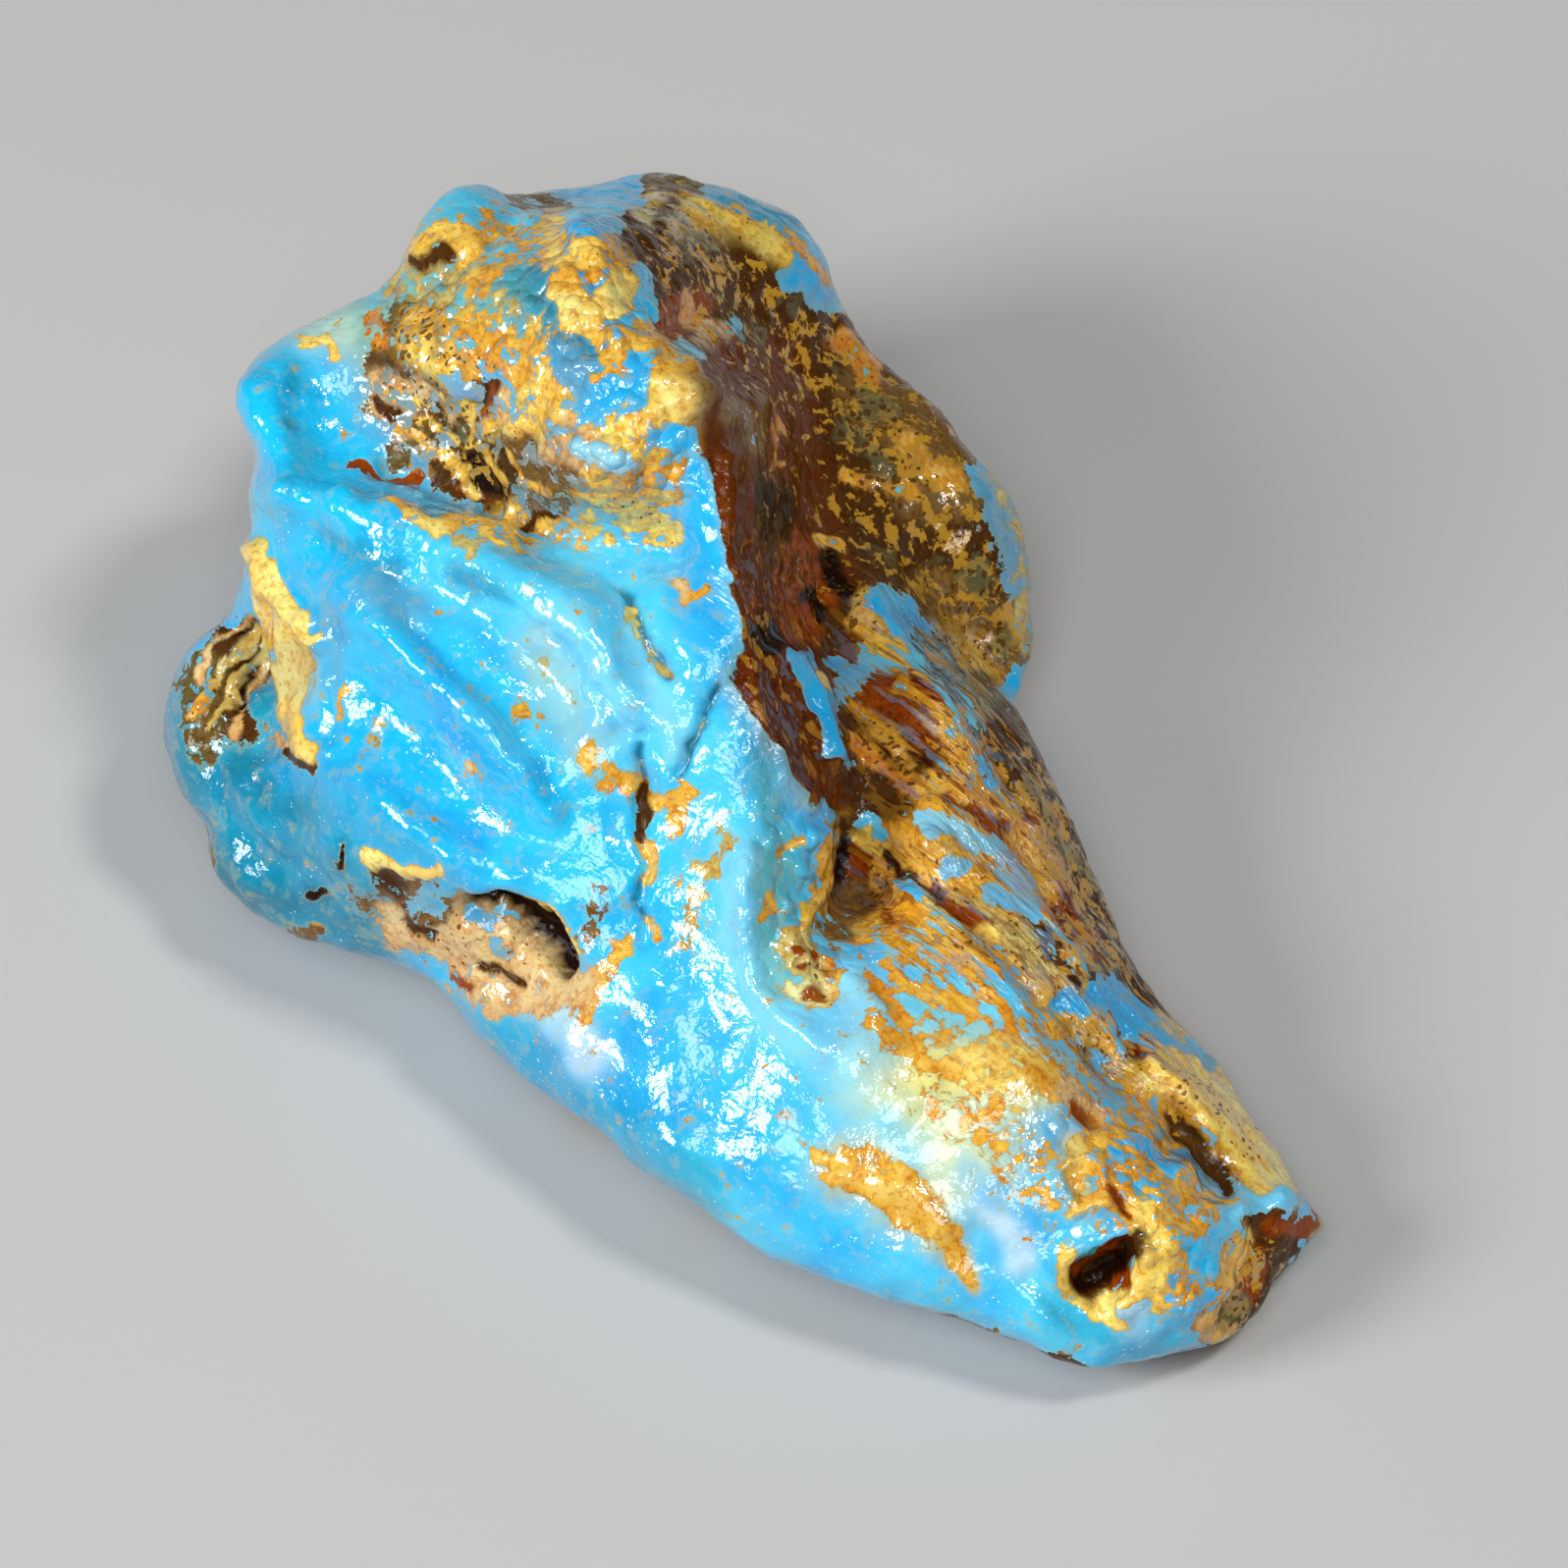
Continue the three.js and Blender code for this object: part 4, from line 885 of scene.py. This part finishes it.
# Where points of the part appear in the reference view: column + 1j * row, in pixels.
def seen_at(points):
    from_middle = (points - np.array(VIEW_MIDDLE)) / PIXEL
    near = from_middle @ np.array(NEAR)
    scale = 1 / (1 - near * PIXEL / VIEW_DISTANCE)
    column = PICTURE_WIDTH / 2 + from_middle @ np.array(RIGHT) * scale
    row = PICTURE_WIDTH / 2 - from_middle @ np.array(UP) * scale
    return column + 1j * row


def distance_to_line(spots, line):
    nearest = np.full(len(spots), np.inf)
    for start, end in zip(line, line[1:] or line):
        way = end - start
        along = ((spots - start) * way.conjugate()).real / max(abs(way) ** 2, 1e-6)
        nearest = np.minimum(nearest, abs(spots - start - way * np.clip(along, 0, 1)))
    return nearest


# How strongly a stroke marks each spot: one along its middle, one half at its half width, and
# nothing beyond three times that.
def stroke(spots, half_width, line):
    reach = 3 * half_width
    columns, rows = np.real(line), np.imag(line)
    inside = (spots.real > columns.min() - reach) & (spots.real < columns.max() + reach)
    inside &= (spots.imag > rows.min() - reach) & (spots.imag < rows.max() + reach)
    near = np.flatnonzero(inside)
    strength = np.zeros(len(spots))
    strength[near] = np.exp2(-((distance_to_line(spots[near], line) / half_width) ** 2))
    return strength


# The strongest of a list of strokes at each spot.
def region(strokes, spots):
    strongest = np.zeros(len(spots))
    for percent, half_width, *line in strokes:
        strongest = np.maximum(strongest, percent / 100 * stroke(spots, half_width, line))
    return strongest


def smooth_step(low, high, value):
    t = np.clip((value - low) / (high - low), 0, 1)
    return t * t * (3 - 2 * t)


def towards(share, old, new):
    return old + share * (new - old)


def blend(share, old, colour):
    return towards(share[:, None], old, np.array(colour))


# Noise of mean 0 at each point.
def swirl(points, name):
    size, octaves, shift = SWIRLS[name]
    offset = Vector((shift, 1.7 * shift, -shift))
    return np.array([noise.fractal(Vector(p) / size + offset, 1.0, 2.0, octaves) for p in points])


# Round knobs: one at a knob's middle and nothing between knobs.
def knobs(points):
    nearest = np.array([noise.voronoi(Vector(p) / KNOB_SIZE)[0][0] for p in points])
    return np.clip(1 - (nearest / KNOB_REACH) ** 2, 0, 1)


def vertex_arrays(mesh):
    points = np.zeros(len(mesh.vertices) * 3)
    normals = np.zeros(len(mesh.vertices) * 3)
    mesh.vertices.foreach_get("co", points)
    mesh.vertices.foreach_get("normal", normals)
    return points.reshape(-1, 3), normals.reshape(-1, 3)


def add_object(name, data):
    thing = bpy.data.objects.new(name, data)
    bpy.context.scene.collection.objects.link(thing)
    return thing


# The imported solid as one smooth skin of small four-sided faces.
def smooth_skin(node):
    skin = bmesh.new()
    skin.from_mesh(node.data)
    bmesh.ops.remove_doubles(skin, verts=skin.verts, dist=SAME_PLACE)
    bmesh.ops.join_triangles(
        skin,
        faces=skin.faces,
        angle_face_threshold=JOINED_ANGLE,
        angle_shape_threshold=JOINED_ANGLE,
    )
    mesh = bpy.data.meshes.new("nugget")
    skin.to_mesh(mesh)
    skin.free()
    piece = add_object("nugget", mesh)
    rounding = piece.modifiers.new("rounding", "SUBSURF")
    rounding.levels = ROUNDING_LEVELS
    rounding.render_levels = ROUNDING_LEVELS
    graph = bpy.context.evaluated_depsgraph_get()
    piece.data = bpy.data.meshes.new_from_object(piece.evaluated_get(graph))
    piece.modifiers.clear()
    return piece


# Faces under the narrowest strokes are split once more, as far as the face budget goes.
def refine(piece):
    points, normals = vertex_arrays(piece.data)
    spots = seen_at(points)
    narrow = np.zeros(len(points))
    for _, half_width, *line in RELIEF + [covering[1:] for covering in COVERINGS]:
        if half_width <= NARROW_STROKE:
            weight = stroke(spots, half_width + FRINGE, line) / half_width
            narrow = np.maximum(narrow, weight)
    narrow *= smooth_step(*REFINED_FACING, normals @ np.array(NEAR))
    skin = bmesh.new()
    skin.from_mesh(piece.data)
    spare_faces = (MOST_TRIANGLES - 2 * len(skin.faces)) // TRIANGLES_PER_SPLIT
    busiest = sorted(skin.faces, key=lambda face: -sum(narrow[v.index] for v in face.verts))
    edges = {edge for face in busiest[:spare_faces] for edge in face.edges}
    edges = sorted(edges, key=lambda edge: edge.index)
    bmesh.ops.subdivide_edges(skin, edges=edges, cuts=1, use_grid_fill=True)
    skin.to_mesh(piece.data)
    skin.free()


# Where each point appears, nudged by noise so that no stroke keeps a straight edge.
def drawn_at(points, waver):
    nudge = swirl(points, "column") + 1j * swirl(points, "row")
    return seen_at(points) + waver * nudge


# How far the strokes and bubbles raise each spot, in mm.
def stroke_heights(spots):
    height = np.zeros(len(spots))
    for rise, half_width, *line in RELIEF:
        height += rise * stroke(spots, half_width, line)
    for middle, radius in BUBBLES:
        cap = stroke(spots, BUBBLE_SPREAD * radius, [middle])
        height += BUBBLE_RISE * radius * PIXEL / MM * cap
    return height


# How far noise raises each point, in mm.
def noise_heights(points, streaked, grainy, bubbly):
    calm = 1 - CALMED * np.maximum(streaked, bubbly)
    height = WAVE_RISE * calm * swirl(points, "wave")
    height -= CREASE_DEPTH * calm * np.abs(swirl(points, "crease"))
    height += (PLAIN_GRAIN_RISE + GRAIN_RISE * grainy) * swirl(points, "grain")
    height += RIB_RISE * streaked * swirl(points * STREAK_STRETCH, "rib")
    knobbly = np.flatnonzero(bubbly > LEAST_BUBBLY)
    height[knobbly] += KNOB_RISE * bubbly[knobbly] * (knobs(points[knobbly]) - KNOB_LEVEL)
    return height


def raise_relief(piece, spots):
    points, normals = vertex_arrays(piece.data)
    facing = normals @ np.array(NEAR)
    seen = smooth_step(*RAISED_FACING, facing)
    hidden = 1 - smooth_step(*GRAINED_FACING, facing)
    streaked = np.maximum(region(STREAKED, spots) * seen, HIDDEN_SHARES["streaked"] * hidden)
    grainy = np.maximum(region(GRAINY, spots) * seen, HIDDEN_GRAINY * hidden)
    bubbly = region(BUBBLY, spots) * seen
    height = stroke_heights(spots) * seen + noise_heights(points, streaked, grainy, bubbly)
    height *= smooth_step(0.0, RELIEF_CLEARANCE, points[:, 2])
    moved = points + normals * height[:, None] * MM
    moved[:, 2] = np.maximum(moved[:, 2], 0)
    piece.data.vertices.foreach_set("co", moved.ravel())
    piece.data.update()


def store_number(piece, name, values):
    layer = piece.data.attributes.new(name, "FLOAT", "POINT")
    layer.data.foreach_set("value", values.astype(np.float32))


def store_colour(piece, name, colours):
    layer = piece.data.attributes.new(name, "FLOAT_COLOR", "POINT")
    opaque = np.hstack([colours, np.ones((len(colours), 1))])
    layer.data.foreach_set("color", opaque.astype(np.float32).ravel())


# A base colour at each point, with layers of colours that follow the noises.
def noise_colours(base, layers, noises):
    colours = np.tile(base, (len(noises["soft"]), 1))
    for name, sign, low, high, most, colour in layers:
        colours = blend(most * smooth_step(low, high, sign * noises[name]), colours, colour)
    return colours


def body_colours(spots, noises, hidden):
    body = noise_colours(SKY, SEEN_BODY, noises)
    for colour, percent, half_width, *line in BODY_TINTS:
        marked = stroke(spots, half_width, line) * (1 + TINT_PATCHINESS * noises["patchy"])
        body = blend(percent / 100 * np.clip(marked * TINT_STRENGTH, 0, 1), body, colour)
    return blend(hidden, body, noise_colours(SKY, HIDDEN_BODY, noises))


# The crust's colour, how much of the stone it covers, and how ragged its edges are.
def crust_strokes(spots):
    crust = np.tile(OCHRE, (len(spots), 1))
    cover = np.full(len(spots), BARE_COVER)
    ragged = np.ones(len(spots))
    for colour, percent, half_width, *line in COVERINGS:
        share = percent / 100
        marked = stroke(spots, half_width, line)
        cover = towards(smooth_step(*COVER_RAMP, marked), cover, share)
        edge = CRISP_EDGE if share >= CRISP_COVER or share <= CRISP_BARE else 1
        ragged = towards(smooth_step(*RAGGED_RAMP, marked), ragged, edge)
        if colour:
            crust = blend(smooth_step(*CRUST_RAMP, marked), crust, colour)
    return crust, cover, ragged


# The blue stone's own colour, what covers it and how much, as the reference view shows them, and
# by noise on the sides that it hides.
def paint(piece, spots):
    points, normals = vertex_arrays(piece.data)
    hidden = 1 - smooth_step(*PAINTED_FACING, normals @ np.array(NEAR))
    noises = {name: swirl(points, name) for name in ("soft", "patchy", "cloudy")}
    crust, cover, ragged = crust_strokes(spots)
    streaked = region(STREAKED, spots)
    cover += STREAKED_COVER * streaked * swirl(points * STREAK_STRETCH, "streak")
    hidden_cover = HIDDEN_COVER + HIDDEN_PATCHES * noises["patchy"]
    hidden_cover += HIDDEN_CLOUDS * noises["cloudy"] + HIDDEN_GROWTH * points[:, 1]

    store_colour(piece, "body", body_colours(spots, noises, hidden))
    store_colour(piece, "crust", blend(hidden, crust, noise_colours(OCHRE, HIDDEN_CRUST, noises)))
    store_number(piece, "cover", towards(hidden, cover, hidden_cover))
    shares = {
        "ragged": ragged,
        "streaked": streaked,
        "bubbly": region(BUBBLY, spots),
        "speckled": region(SPECKLED, spots),
        "flecked": region(FLECKED, spots),
    }
    for name, values in shares.items():
        store_number(piece, name, towards(hidden, values, HIDDEN_SHARES[name]))


# Builds a material's nodes and gives back their output sockets.
class Nodes:
    def __init__(self, material):
        material.use_nodes = True
        self.tree = material.node_tree
        self.tree.nodes.clear()

    # A node with its inputs, values or sockets, by number or name. An Output node has no outputs.
    def add(self, kind, inputs, output=0, **settings):
        node = self.tree.nodes.new("ShaderNode" + kind)
        for name, value in settings.items():
            setattr(node, name, value)
        for key, value in inputs.items():
            self.put(node.inputs[key], value)
        return node.outputs[output] if len(node.outputs) else None

    def put(self, socket, value):
        if isinstance(value, bpy.types.NodeSocket):
            self.tree.links.new(value, socket)
        elif socket.type == "RGBA":
            socket.default_value = (*value, 1)
        else:
            socket.default_value = value

    def math(self, operation, a, b):
        return self.add("Math", {0: a, 1: b}, operation=operation)

    def times(self, a, b, plus=0.0):
        return self.add("Math", {0: a, 1: b, 2: plus}, operation="MULTIPLY_ADD")

    def scaled(self, a, b, plus=(0, 0, 0)):
        return self.add("VectorMath", {0: a, 1: b, 2: plus}, operation="MULTIPLY_ADD")

    def noise(self, where, name, output="Fac"):
        scale, detail, roughness = NOISES[name]
        return self.add("TexNoise", {0: where, 2: scale, 3: detail, 4: roughness}, output)

    def dots(self, where, scale):
        return self.add("TexVoronoi", {0: where, 2: scale})

    def step(self, value, low, high, start=0.0, end=1.0):
        ramp = {0: value, 1: low, 2: high, 3: start, 4: end}
        return self.add("MapRange", ramp, interpolation_type="SMOOTHSTEP")

    def mix(self, share, a, b):
        return self.add("Mix", {0: share, 6: a, 7: b}, 2, data_type="RGBA")

    def lightness(self, colour):
        return self.add("RGBToBW", {0: colour})

    def painted(self, name, output="Fac"):
        return self.add("Attribute", {}, output, attribute_name=name)


# The painted numbers and the noises that the stone's colours and skin follow, by name.
def stone_fields(n):
    names = ["cover", "ragged", "streaked", "bubbly", "speckled", "flecked"]
    field = {name: n.painted(name) for name in names}
    mm = n.scaled(n.add("TexCoord", {}, "Object"), (1000, 1000, 1000))
    bent = n.scaled(n.noise(mm, "warp", "Color"), (WARP_REACH,) * 3, mm)
    field["mm"] = mm
    field["bent"] = bent
    field["lace"] = n.noise(bent, "lace")
    field["fine"] = n.noise(mm, "fine")
    field["tone"] = n.noise(mm, "tone")
    field["streak"] = n.noise(n.scaled(mm, STREAK_SQUEEZE), "streak")
    field["threads"] = n.noise(n.scaled(mm, THREAD_SQUEEZE), "threads")

    # How deep each point lies in the crust: over a half is covered.
    more_streak = n.math("SUBTRACT", field["streak"], field["lace"])
    field["pattern"] = n.times(more_streak, field["streaked"], field["lace"])
    swing = n.times(field["pattern"], LACE_SWING, -LACE_SWING / 2)
    field["depth"] = n.times(swing, field["ragged"], field["cover"])
    holes = n.times(field["lace"], -LACE_SWING, LACE_SWING / 2)
    field["flecks"] = n.math("ADD", holes, field["flecked"])
    return field


# Lays a list of layers over a colour. With a share given, they lie only as far as that goes.
def lay(n, field, colour, layers, within=None, shade=False):
    for name, low, high, most, over in layers:
        share = n.step(field[name], low, high, 0.0, most)
        if within:
            share = n.times(share, within)
        colour = n.mix(share, colour, n.scaled(colour, over) if shade else over)
    return colour


def body_colour(n, field):
    body = lay(n, field, n.painted("body", "Color"), BODY_SHADES, shade=True)
    return lay(n, field, body, BODY_VEILS)


def crust_colour(n, field):
    crust = n.painted("crust", "Color")
    crust = lay(n, field, crust, CORE_VEIL, within=n.step(n.lightness(crust), *BRIGHT_CRUST))
    crust = lay(n, field, crust, CRUST_SHADES, shade=True)
    crust = lay(n, field, crust, STREAK_SHADES, within=field["streaked"], shade=True)
    crust = lay(n, field, crust, THREAD_VEILS, within=field["streaked"])
    crust = lay(n, field, crust, FLECK_VEIL, within=n.step(field["flecked"], *ANY_FLECKS))
    return lay(n, field, crust, MOSS_VEIL, within=n.step(field["flecked"], *MANY_FLECKS))


# The stone's colour, with dark specks on its crust and painted highlights, white glints, on its bare
# skin.
def stone_colour(n, field):
    covered = n.step(field["depth"], *COVERED_DEPTH)
    colour = n.mix(covered, body_colour(n, field), crust_colour(n, field))
    dots = n.dots(field["bent"], DOT_SCALE)
    reach = n.times(field["tone"], SPECK_TONE, SPECK_START)
    reach = n.times(field["speckled"], SPECK_REACH, reach)
    specks = n.step(n.math("SUBTRACT", reach, dots), *SPECK_EDGE)
    specks = n.times(specks, n.step(field["speckled"], *SPECK_SHARE))
    colour = n.mix(n.times(specks, covered), colour, BROWN)
    # Painted highlights: white glints at the dots' middles on the bare skin, where the tone noise
    # allows.
    painted_glints = n.times(n.step(dots, *PAINTED_GLINT_EDGE), n.step(field["tone"], *PAINTED_GLINT_TONE))
    bare = n.math("SUBTRACT", 1.0, covered)
    return n.mix(n.times(painted_glints, bare), colour, HIGHLIGHT_WHITE)


# The skin is wet and smooth between wrinkles, with small blisters on the dome and the tail.
def skin_bump(n, field):
    dots = n.dots(field["mm"], BLISTER_SCALE)
    blisters = n.times(n.times(dots, dots), -2 * BLISTER_HEIGHT, BLISTER_HEIGHT)
    height = n.times(blisters, field["bubbly"])
    height = n.times(n.times(field["streak"], field["streaked"]), RIB_HEIGHT, height)
    height = n.times(n.noise(field["mm"], "wrinkles"), WRINKLE_HEIGHT, height)
    height = n.times(field["fine"], FINE_HEIGHT, height)
    return n.add("Bump", {"Strength": 1.0, "Distance": BUMP_DEPTH, "Height": height})


def shaded_material(name, look):
    material = bpy.data.materials.new(name)
    n = Nodes(material)
    n.add("OutputMaterial", {"Surface": n.add("BsdfPrincipled", look(n))})
    return material


def stone_look(n):
    field = stone_fields(n)
    colour = stone_colour(n, field)
    bump = skin_bump(n, field)
    light = n.lightness(colour)
    return {
        "Base Color": colour,
        "Roughness": n.step(light, *ROUGHNESS_RAMP),
        "Normal": bump,
        "Coat Normal": bump,
        "Coat Weight": n.step(light, *COAT_RAMP),
        "Coat Roughness": COAT_ROUGHNESS,
        "Coat IOR": COAT_IOR,
        "Specular IOR Level": SPECULAR_LEVEL,
        "IOR": IOR,
    }


def make_nugget():
    piece = smooth_skin(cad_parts[NUGGET])
    refine(piece)
    points = vertex_arrays(piece.data)[0]
    raise_relief(piece, drawn_at(points, RELIEF_WAVER))
    paint(piece, drawn_at(points, COLOUR_WAVER))
    piece.data.materials.append(shaded_material("blue_amber", stone_look))
    for face in piece.data.polygons:
        face.use_smooth = True
    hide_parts(NUGGET)
    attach(piece, "root")


def floor_look(n):
    return {"Base Color": FLOOR_COLOUR, "Roughness": FLOOR_ROUGHNESS}


def make_floor():
    mesh = bpy.data.meshes.new("floor")
    near, far = -FLOOR_REACH, FLOOR_REACH
    corners = [(near, near, 0), (far, near, 0), (far, far, 0), (near, far, 0)]
    mesh.from_pydata(corners, [], [(0, 1, 2, 3)])
    mesh.materials.append(shaded_material("floor", floor_look))
    floor = add_object("floor", mesh)
    floor.location.z = -FLOOR_DROP


# A soft square light that looks at the stone's middle.
def add_light(name, right, up, near, width, power):
    data = bpy.data.lights.new(name, "AREA")
    data.shape = "SQUARE"
    data.size = width
    data.energy = power
    lamp = add_object(name, data)
    lamp.location = VIEW_MIDDLE + RIGHT * right + UP * up + NEAR * near
    line_of_sight = VIEW_MIDDLE - lamp.location
    lamp.rotation_euler = line_of_sight.to_track_quat("-Z", "Y").to_euler()


def make_lights():
    for name, settings in LIGHTS.items():
        add_light(name, *settings)
    world = bpy.data.worlds.new("studio")
    world.use_nodes = True
    background = world.node_tree.nodes["Background"]
    background.inputs["Color"].default_value = (1, 1, 1, 1)
    background.inputs["Strength"].default_value = WORLD_LIGHT
    bpy.context.scene.world = world


def make_camera():
    data = bpy.data.cameras.new("camera")
    data.sensor_width = SENSOR
    data.lens = SENSOR * VIEW_DISTANCE / (PICTURE_WIDTH * PIXEL)
    data.clip_start = NEAREST
    data.clip_end = FARTHEST
    camera = add_object("camera", data)
    turn = Matrix((RIGHT, UP, NEAR)).transposed().to_4x4()
    camera.matrix_world = Matrix.Translation(VIEW_MIDDLE + NEAR * VIEW_DISTANCE) @ turn
    bpy.context.scene.camera = camera


make_camera()
make_lights()
make_floor()
make_nugget()
bpy.context.scene.view_settings.view_transform = "Standard"
